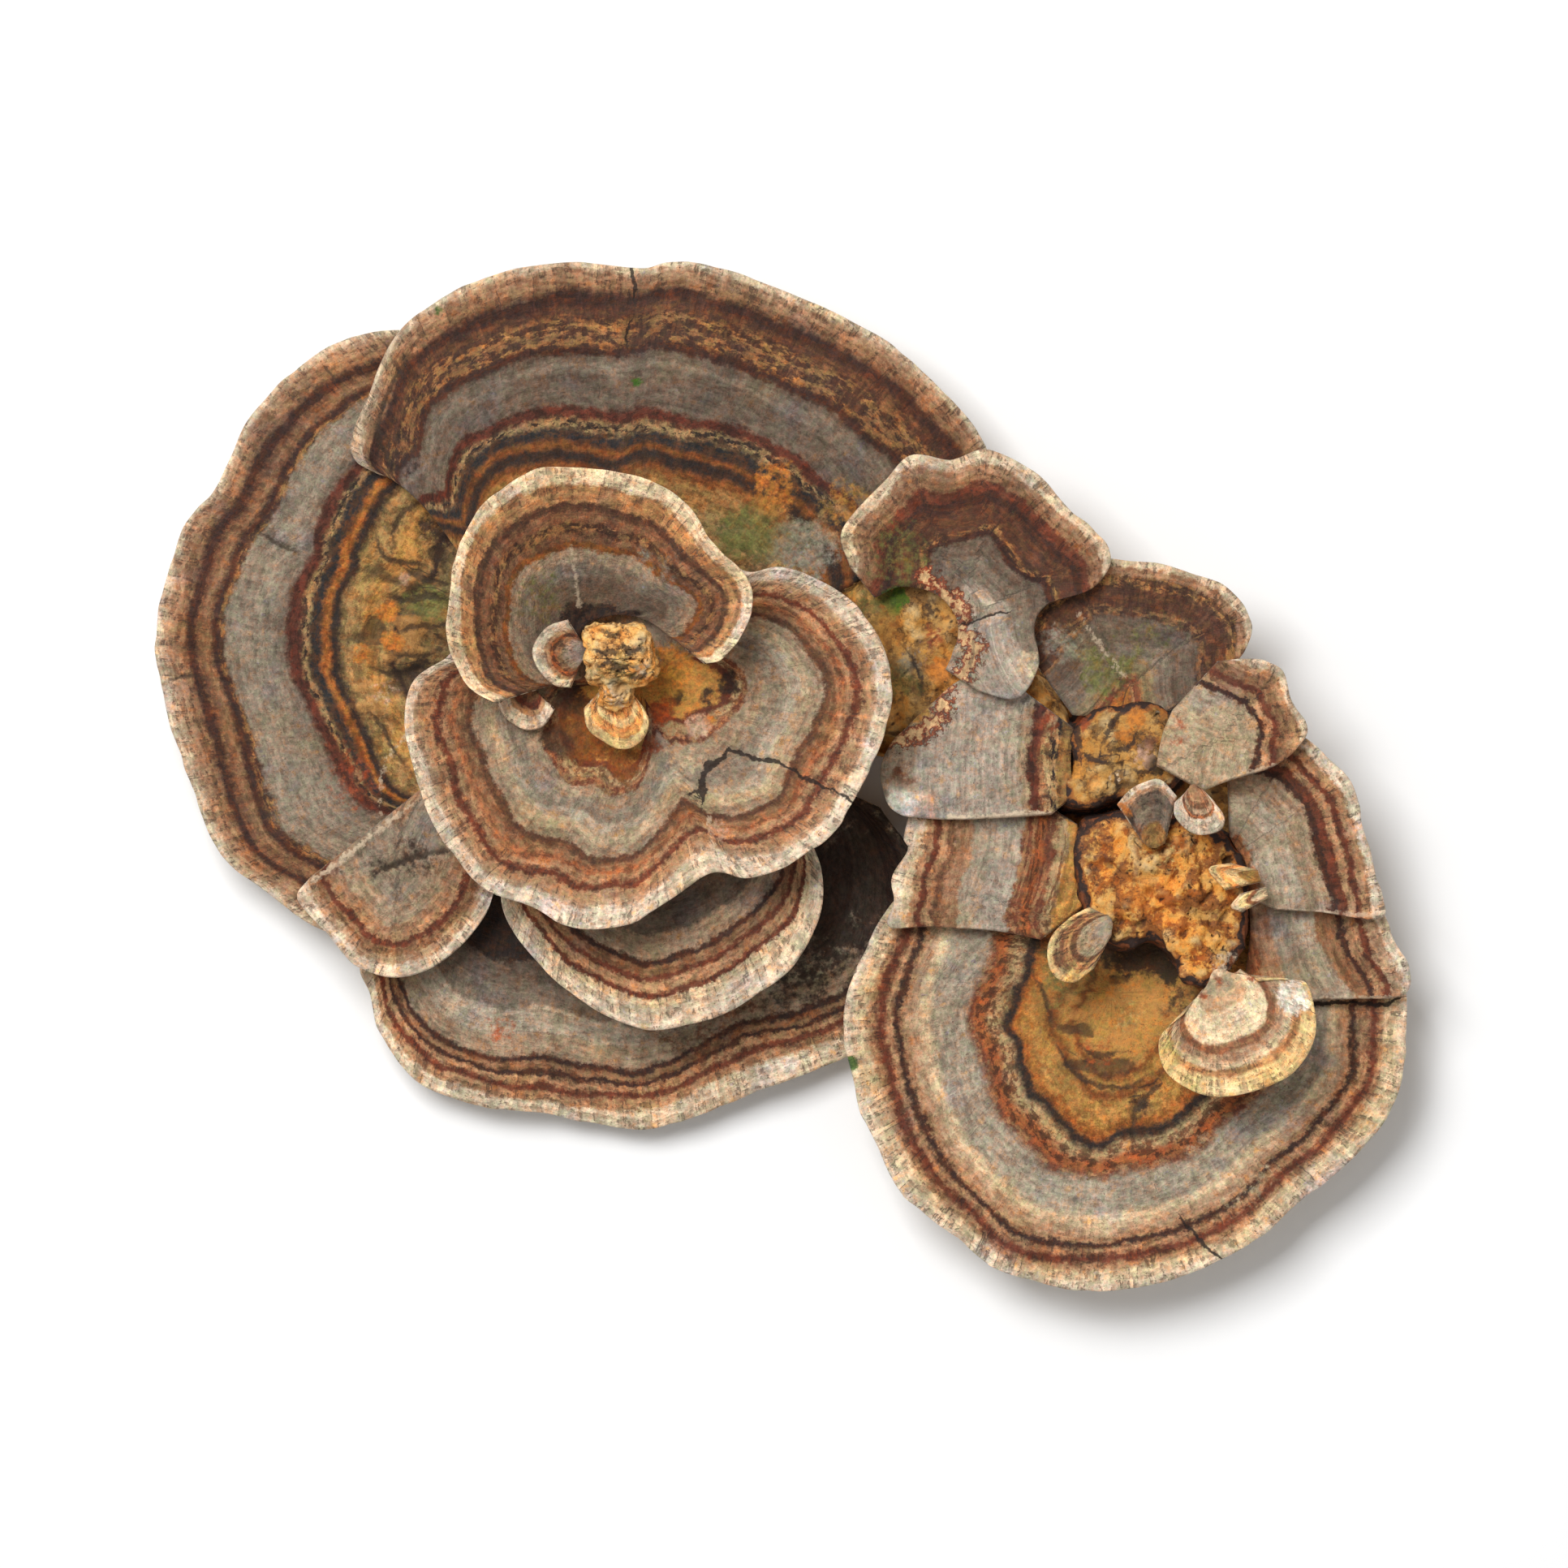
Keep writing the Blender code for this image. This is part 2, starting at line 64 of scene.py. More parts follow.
# Thickness of the flesh, as in the solids
ROOT_THICK = 2.3
RIM_THICK = 0.9
SMALL_ROOT_THICK = 1.6
SMALL_RIM_THICK = 0.7
THINNING = 0.7
BOW_SPREAD = 0.2
BOW_PEAK = 6.75
SMOOTH_STEPS = 12

# How a cap is divided: the rim's rounded edge and its rows, and the rows that other caps hide
EDGE = 0.6
SMALL_EDGE = 0.35
RIM_STEPS = (1.0, 0.6, 0.28, 0.07, 0.0)
HIDDEN_ROWS = 6
ROOT_OVERLAP = 1.0
WELD = 1e-6
LATTICE = 64

# The ramps: how far a band blends into the next, in millimetres, and how many stops one may have
BAND_BLEND = 0.32
MOST_STOPS = 32
DEPTH_SPARE = 3.0

# Spacing of a mound's mesh before it is remeshed, how deep its hollows are, and a distance that is
# past every contour line, in millimetres
MOUND_STEP = 0.6
HOLLOW_DEPTH = 1.4
FAR = 20.0

# Waves along a margin, in millimetres: the rim's wander and notches, and the relief of the skin
RIM_WAVE = 5
RIM_NOTCH = 1.7
RING_WAVE = 14
FOLD_WAVE = 9
LUMP_WAVE = 2.6
PLEAT_WAVE = 3.1

# Grooves of cracks and folds, lips, and how far a line reaches, in millimetres
GROOVE_DEPTH = 0.35
GROOVE_WIDTH = 0.45
LIP_HEIGHT = 0.3
LIP_WIDTH = 0.6
LINE_REACH = 6.0
HAIR_CRACK = 0.12

# Where the noise in plan starts, in cells
NOISE_SHIFT = 40

# Scales of the noise in the materials, in cells to the metre
BLOTCH = 1250.0
GRIT = 3300.0
PATCH = 260.0
TINT = 900.0
DRIFT = 150.0
BAND_EDGE = 1150.0
WANDER = 1000.0
JAG = 700.0
PORES = 2300.0
MOTTLE = 130.0
LUMPS = 420.0
WRINKLES = 1300.0
TISSUE_DRIFT = 260.0
TISSUE_WANDER = 1100.0

# Depth of the fine relief in the materials, in metres
SKIN_BUMP = 0.00022
TISSUE_BUMP = 0.0003

# The studio's light, in metres, and the level of the caps that the camera frames, in millimetres
KEY_PLACE = (-0.5, 0.6, 1.5)
VIEW_LEVEL = 12.0


class Cap:
    """One cap's outline, as in the solids."""

    def __init__(self, name, root, root_z, margin, small=False, disc=False, power=1.0, arch=0.0,
                 start_bow=0.0):
        self.name = name
        self.root = root
        self.root_z = root_z
        self.margin = margin
        self.small = small
        self.disc = disc
        self.power = power
        self.arch = arch
        self.start_bow = start_bow


class Skin:
    """How a cap's upper side looks.

    bands holds (zone, distance from the growing edge at each of the shares), from the rim inwards. A
    band with one distance has it at every share. The growing edge is the margin, or the guide where
    one is given. hidden is the share of the cap, from its root, that others cover. marks are painted
    lines and spots: stains (x, y, radius, colour, strength), which hold the skin's own discolouring
    and also shade painted into gaps and under the rims of caps above; ripples (x, y, radius, height),
    with painted shade in their hollows and a painted highlight on their crests; and cracks, folds,
    lips and seams as lists of points. Folds are inked dark, as painted shade in their creases; lips
    are painted cream, the pale colour of free edges and, on lit ridges, a painted highlight.
    """

    def __init__(self, bands, shares=(0.5,), guide=None, hidden=0.0, lip_strength=0.4, **marks):
        self.bands = [
            (zone, *(places * len(shares) if len(places) == 1 else places)) for zone, *places in bands
        ]
        self.shares = shares
        self.guide = guide
        self.hidden = hidden
        self.lip_strength = lip_strength
        for kind in ("stains_and_shade", "cracks_and_shadow_lines", "lips", "seams", "folds", "ripples"):
            setattr(self, kind, marks.get(kind, ()))


# Each zone of a cap: its colour and the colour of its flecks (sRGB), how speckled it is and how
# strongly its fibres show
ZONES = {
    "white_rim": ((230, 208, 186), (206, 166, 132), 0.3, 0.6),
    "cream_rim": ((226, 203, 176), (182, 134, 98), 0.35, 0.7),
    "pink_rim": ((194, 157, 126), (156, 104, 74), 0.35, 0.7),
    "tan": ((188, 142, 105), (136, 88, 60), 0.45, 0.5),
    "warm_tan": ((152, 110, 78), (110, 70, 46), 0.55, 0.4),
    "brown": ((106, 67, 45), (174, 126, 90), 0.45, 0.3),
    "red_brown": ((112, 56, 34), (92, 46, 32), 0.45, 0.3),
    "dark": ((56, 30, 21), (112, 64, 42), 0.4, 0.3),
    "umber": ((40, 27, 22), (92, 62, 44), 0.35, 0.3),
    "mottled": ((72, 42, 26), (172, 122, 76), 0.9, 0.3),
    "mottled_dark": ((70, 42, 29), (156, 112, 76), 0.85, 0.3),
    "grey": ((130, 113, 98), (112, 92, 78), 0.35, 0.6),
    "grey_dark": ((112, 94, 80), (90, 70, 58), 0.35, 0.6),
    "grey_light": ((176, 158, 139), (146, 124, 106), 0.35, 0.6),
    "grey_cool": ((178, 161, 146), (142, 126, 116), 0.35, 0.6),
    "beige": ((188, 163, 134), (160, 132, 104), 0.35, 0.5),
    "warm_beige": ((216, 180, 144), (182, 140, 104), 0.35, 0.5),
    "olive_grey": ((138, 118, 90), (100, 86, 64), 0.4, 0.5),
    "rust": ((166, 92, 46), (70, 42, 30), 0.8, 0.2),
    "rust_dark": ((94, 42, 24), (50, 36, 32), 0.6, 0.2),
    "rust_speck": ((110, 58, 36), (190, 142, 102), 0.65, 0.2),
    "rust_tan": ((172, 108, 68), (110, 62, 42), 0.7, 0.3),
    "cream_speck": ((190, 156, 114), (104, 62, 42), 0.8, 0.2),
    "cream_dark": ((166, 130, 88), (46, 36, 34), 1.0, 0.2),
    "black_line": ((32, 30, 32), (104, 70, 46), 0.5, 0.2),
    "orange": ((178, 108, 44), (128, 66, 28), 0.6, 0.2),
    "orange_brown": ((138, 80, 32), (92, 52, 26), 0.6, 0.2),
    "ochre": ((160, 116, 64), (118, 80, 42), 0.6, 0.2),
    "olive": ((132, 106, 68), (90, 70, 42), 0.6, 0.2),
    "olive_dark": ((98, 78, 50), (132, 98, 58), 0.6, 0.2),
    "honey": ((208, 150, 76), (158, 104, 50), 0.45, 0.2),
    "gold": ((190, 138, 72), (140, 92, 44), 0.55, 0.2),
    "gold_olive": ((172, 134, 84), (116, 88, 52), 0.6, 0.2),
    "gold_rim": ((250, 212, 152), (218, 154, 92), 0.3, 0.5),
    "gold_light": ((252, 178, 104), (212, 120, 64), 0.45, 0.3),
    "gold_tan": ((204, 148, 98), (146, 90, 56), 0.45, 0.4),
    "ivory_rim": ((252, 222, 186), (220, 176, 134), 0.3, 0.5),
    "cream_beige": ((228, 198, 162), (190, 152, 118), 0.35, 0.5),
    "rosy_tan": ((172, 132, 102), (130, 82, 56), 0.45, 0.7),
    "dusty": ((168, 142, 118), (132, 104, 82), 0.4, 0.5),
    "grey_soft": ((150, 132, 115), (122, 104, 88), 0.35, 0.6),
    "chestnut": ((132, 84, 56), (186, 134, 98), 0.45, 0.3),
    "deep_brown": ((80, 46, 30), (136, 90, 60), 0.45, 0.3),
    "chestnut_dark": ((84, 50, 33), (132, 88, 60), 0.45, 0.3),
}

# Narrow dark zones, which keep crisp edges
DARK_LINES = ("dark", "umber", "black_line", "red_brown", "rust", "chestnut_dark")

# Colours of the painted spots; the near-black one is used only for painted shade in deep gaps
PAINTS = {
    "night": (28, 26, 20),
    "amber": (204, 138, 60),
    "dark_honey": (128, 70, 26),
    "moss": (54, 98, 22),
    "olive": (112, 106, 56),
    "orange": (200, 122, 48),
    "umber": (52, 34, 26),
    "ochre": (178, 128, 62),
    "cream": (232, 208, 176),
    "pink": (204, 164, 140),
    "rust": (150, 70, 36),
    "lavender": (168, 158, 156),
    "grey": (140, 130, 120),
    "beige": (194, 170, 140),
    "white": (244, 234, 222),
    "yellow": (214, 186, 116),
    "brown": (110, 66, 42),
    "red_spot": (158, 74, 34),
}

LEFT_CAPS = (
    Cap("cap_bottom", ((-34, -2), (-30, 10), (-16, 14), (-6, 4)), 7.6,
        ((-46, -17, 6.4), (-52, -22.8, 6), (-51, -27, 5.8), (-49.8, -32, 5.6), (-45, -38, 5.4),
         (-38, -41, 5.2), (-30, -41.5, 5.4), (-24, -42.7, 5), (-17.5, -43.8, 5.2), (-11, -42.2, 5.6),
         (-3, -38.9, 5.4), (6, -35.7, 5.6), (13, -31, 5.4), (17, -22, 5.2), (17, -12, 5.2),
         (12, -4, 5.4)), arch=0.3),
    Cap("cap_left_back", ((-18, 14), (-26, 16), (-28, 8), (-22, 0)), 10.2,
        ((-40, 53.5, 8.6), (-47.5, 54.8, 8.9), (-55, 53.3, 8.6), (-61, 49.6, 8.2), (-66, 43.5, 8.8),
         (-69.5, 36.5, 8.2), (-74, 30.5, 7.9), (-76.6, 22, 8.6), (-77.4, 14, 8), (-75.2, 5.5, 8.4),
         (-73, -2, 7.9), (-70, -9.2, 8.4), (-64, -14.2, 8), (-57, -19, 8.3), (-49, -21, 8)), arch=0.5),
    Cap("cap_top", ((-30, 10), (-26, 20), (-16, 20), (-12, 11)), 12.8,
        ((-49.8, 37, 11.6), (-52.6, 38.6, 11.8), (-53.3, 41.5, 12.2), (-51, 46.8, 12), (-48.4, 53, 11.8),
         (-44, 57.5, 11.6), (-36, 61.5, 12.4), (-27, 63.2, 12), (-18.5, 62.5, 11.6), (-13, 63.5, 12.3),
         (-5, 61.5, 12.6), (5, 57.8, 11.9), (14, 52.5, 12.2), (20.5, 46.5, 11.8), (25.3, 40, 11.6),
         (27, 34.5, 11.5)), arch=0.5, start_bow=4.2),
    Cap("cap_lower_left", ((-35, 6), (-31, 0), (-33, -6)), 12.9,
        ((-58.4, -12.7, 12.8), (-59.9, -15.2, 12.4), (-57, -19, 12.2), (-52.5, -23.6, 12.6),
         (-47, -24.9, 12.4), (-41, -22.2, 12.2), (-36.6, -17, 12.4), (-35.6, -13, 12.8)), arch=-0.4),
    Cap("cap_crescent", ((-26, 8), (-20, 13), (-11, 8)), 15.4,
        ((-34.6, -11, 15.6), (-34.6, -16.5, 16), (-31.5, -21.5, 16.4), (-26, -27, 16.4), (-19, -30.8, 16),
         (-14.5, -31.4, 16.2), (-8, -29.7, 16.6), (-2, -26.4, 16.8), (2.2, -22, 17), (4.5, -16.5, 16.8),
         (4.6, -11.5, 16.4), (2.5, -6, 16)), arch=-0.5),
    Cap("cap_bowl", ((-17.5, 10.5),), 18,
        ((-40.6, 15.6, 24.4), (-45.4, 11.5, 25), (-46.4, 6, 25.4), (-45.1, 0, 25.8), (-42.5, -7, 25.6),
         (-37, -13.6, 25.6), (-30, -16.4, 26.2), (-25.5, -18.7, 26.8), (-19, -18.3, 26.6),
         (-13, -14.8, 26), (-8.4, -11.9, 25.4), (-4, -12.6, 26.8), (2.5, -9.9, 27), (6.6, -6.8, 26.6),
         (9.3, -1.8, 25.6), (12.2, 5, 25.2), (13.2, 11.5, 25.4), (11, 18, 25), (5.4, 23.6, 24.2),
         (-0.5, 25.4, 23.6), (-5, 25, 22.6), (-10, 29.5, 22.2), (-18, 33.6, 22), (-26, 34.6, 22),
         (-33, 31, 22.2), (-38, 24.5, 22.8)), disc=True, power=1.6),
    Cap("cap_horseshoe", ((-27, 11.5), (-26.6, 15.5), (-24.3, 19.4), (-20, 20.2), (-16.3, 18.8)), 22,
        ((-35.3, 8.8, 29.6), (-39.3, 11.5, 30.6), (-41.2, 18.5, 31.4), (-40, 26, 32), (-37.3, 32.4, 32.4),
         (-31.5, 36.7, 32.6), (-25, 37.8, 32.4), (-17, 36.3, 32), (-12, 33.3, 32.2), (-8.2, 28, 32.4),
         (-4.4, 23.6, 31.8), (-4.4, 19, 31), (-7.2, 14.4, 29.8), (-9.6, 13.6, 29)), power=1.2),
    Cap("knob_cap", ((-22.6, 10.2), (-20.6, 9.7), (-18.6, 10.2)), 24.6,
        ((-24.5, 8.2, 24.4), (-24, 5.5, 24.2), (-21.5, 3.7, 23.8), (-19, 3.2, 23.6), (-17, 4.6, 24),
         (-16.4, 6.6, 24.4), (-17.2, 8.4, 24.6)), small=True),
    Cap("small_cap_left", ((-25.1, 17), (-25.2, 15), (-25.1, 13)), 26.2,
        ((-26.4, 19.1, 26.8), (-29, 18.1, 27.4), (-30.6, 15.6, 27.6), (-30, 12.9, 27.4), (-28.2, 11, 27),
         (-26, 10.7, 26.4)), small=True),
    Cap("small_cap_under", ((-33.2, 10), (-31.2, 10.1), (-29.4, 9.4)), 22.5,
        ((-35.1, 8.9, 22.8), (-34, 6.8, 22.8), (-31.6, 5.5, 22.8), (-29.4, 6, 22.7), (-28, 8.2, 22.6)),
        small=True),
)

# The right rosette's caps
RIGHT_CAPS = (
    Cap("cap_bottom_right", ((40.5, -27),), 8.6,
        ((9.9, -21.8, 11.4), (7.5, -31, 11.2), (9.6, -40.8, 10.8), (13.8, -50.2, 11.2),
         (18.2, -54.6, 10.8), (26, -60.7, 11), (34, -63.1, 11.4), (42, -63.4, 11.2), (50, -61.4, 10.8),
         (58.5, -57.2, 11.2), (63.5, -53, 10.8), (71, -46.6, 11), (75.6, -40, 11.2), (76.7, -33, 11),
         (76.4, -25, 9), (70, -17, 8.7), (58, -10.5, 8.6), (42, -8.8, 8.6), (26, -9.6, 8.7),
         (15, -14.5, 9.6)), disc=True, power=1.8),
    Cap("cap_right_low", ((58.4, -15), (58.5, -20), (57.8, -25.4)), 11.2,
        ((72.4, -12, 12.6), (74.6, -19, 12.8), (77.2, -23.4, 13), (77.4, -26.4, 12.9), (75, -27.6, 12.6),
         (67, -27.6, 11.9), (61, -28, 11.4))),
    Cap("cap_left_lobe", ((35.4, -5.5), (35.1, -11), (36, -17)), 12.4,
        ((29, -1.4, 12.2), (21, -1.2, 12.4), (16.6, -3.4, 12.8), (15.1, -7.6, 13), (15.6, -9.2, 13.2),
         (13.4, -12.6, 13.2), (13.6, -15.4, 13), (12.9, -18.7, 12.8), (18, -18.7, 12.6),
         (26, -19.2, 12.4), (31.8, -20.3, 12.2))),
    Cap("cap_right", ((54.9, -6.4), (57.9, -10.6), (58.2, -15.5)), 13.8,
        ((54.6, 1.6, 14.3), (59, 4.8, 14.8), (64, 4.8, 15.4), (66.9, 2, 15.8), (69.5, -0.7, 16),
         (71.4, -6, 15.8), (73, -12.4, 15.6), (73.8, -17.6, 15.4), (66, -16.9, 14.8),
         (60.6, -16.6, 14.2))),
    Cap("cap_middle", ((35, 6.4), (34.4, 2), (34.8, -3.4)), 15.4,
        ((28, 11.6, 14.8), (22.5, 12, 14.5), (17.5, 8.2, 14.9), (13.4, 4.2, 15.2), (12, 0.4, 15.6),
         (12.9, -3.4, 15.9), (14.6, -4.9, 15.8), (16.8, -5.2, 15.3), (20.6, -5.5, 15), (27, -5.3, 14.9),
         (33, -4.9, 15.1))),
    Cap("cap_upper_right", ((35, 8.2), (41, 8.2), (48, 8.2)), 15.2,
        ((30.4, 14.5, 15), (31.2, 21.8, 15.1), (36, 26.4, 15.2), (43.4, 26.3, 15.6), (49, 25.5, 16),
         (53.6, 23.7, 16.2), (56.8, 20.6, 16.4), (57.6, 17.6, 16.2), (56.2, 14.4, 16),
         (52.6, 11.4, 15.6))),
    Cap("cap_side", ((48.6, 8.8), (47.6, 5), (46.8, 0.6)), 18.9,
        ((53.4, 14, 19), (57.2, 14.3, 19.4), (61.2, 13.1, 19.8), (62.7, 9.4, 20), (64.6, 5.2, 19.8),
         (61, 1.4, 19.4), (55.6, -0.4, 19.2), (51.6, -2, 19))),
    Cap("cap_upper",
        ((10.6, 22.6), (14.5, 24.2), (19.5, 23), (22.4, 19.2), (21.8, 14.8), (20.8, 12.4)), 15.7,
        ((8.2, 25.6, 16.6), (7.3, 30, 17.2), (11.8, 35.4, 17), (15.4, 39.5, 16.6), (20.6, 38.8, 17),
         (25.2, 40, 17.6), (31, 37.2, 18.2), (35, 33, 18), (38.6, 29.7, 18.4), (40.3, 26.4, 18.2),
         (38, 22.9, 17.9), (33, 21.3, 17.6), (30.7, 18.6, 17.6), (31.4, 13.4, 17.8), (28.6, 9.5, 17.6),
         (24, 10.3, 17))),
    Cap("stalked_cap", ((50.9, -27.2), (53.6, -24.8), (57, -24.4)), 19.3,
        ((49.4, -29.2, 20.8), (46.2, -32.4, 21.4), (47.2, -36.6, 21.4), (52, -39.3, 21),
         (57.2, -39, 21.2), (62.8, -36.4, 21.8), (65.5, -31.6, 22), (64.4, -25.7, 21.8),
         (61, -25.2, 21.2), (58.4, -25.4, 20.8)), small=True),
    Cap("small_fan", ((38.8, -16.8), (39.6, -18.6), (39.9, -20.6)), 18.4,
        ((37.6, -16.2, 18.6), (34.7, -17.9, 18.8), (32.6, -20.6, 18.8), (33, -24.2, 18.6),
         (35.6, -25.5, 18.4), (38.2, -23.8, 18.4)), small=True),
    Cap("small_sheet", ((43.6, -7.4), (45.4, -8), (47.2, -7.4)), 19.6,
        ((41, -3.6, 20.4), (43.1, -1.4, 20.8), (46.2, -0.5, 21), (48.4, -2.6, 20.6)), small=True),
    Cap("white_cap", ((49, -2.5), (50.7, -2.1), (52.3, -2.5)), 21,
        ((48, -3.4, 21.2), (48.2, -5.2, 21.4), (50.6, -7.3, 21.2), (53.4, -7, 21.2), (54.2, -5.2, 21.2),
         (52.8, -3, 21)), small=True),
    Cap("lobe_upper", ((57.8, -13.4), (57.4, -11.4)), 17,
        ((54.4, -14.2, 17.6), (52.3, -11.5, 18), (55, -10.8, 17.8)), small=True),
    Cap("lobe_lower", ((58.8, -15.6), (58.4, -14)), 17,
        ((56.4, -16.9, 17.4), (55, -16.2, 17.6), (56.2, -14.6, 17.4)), small=True),
)

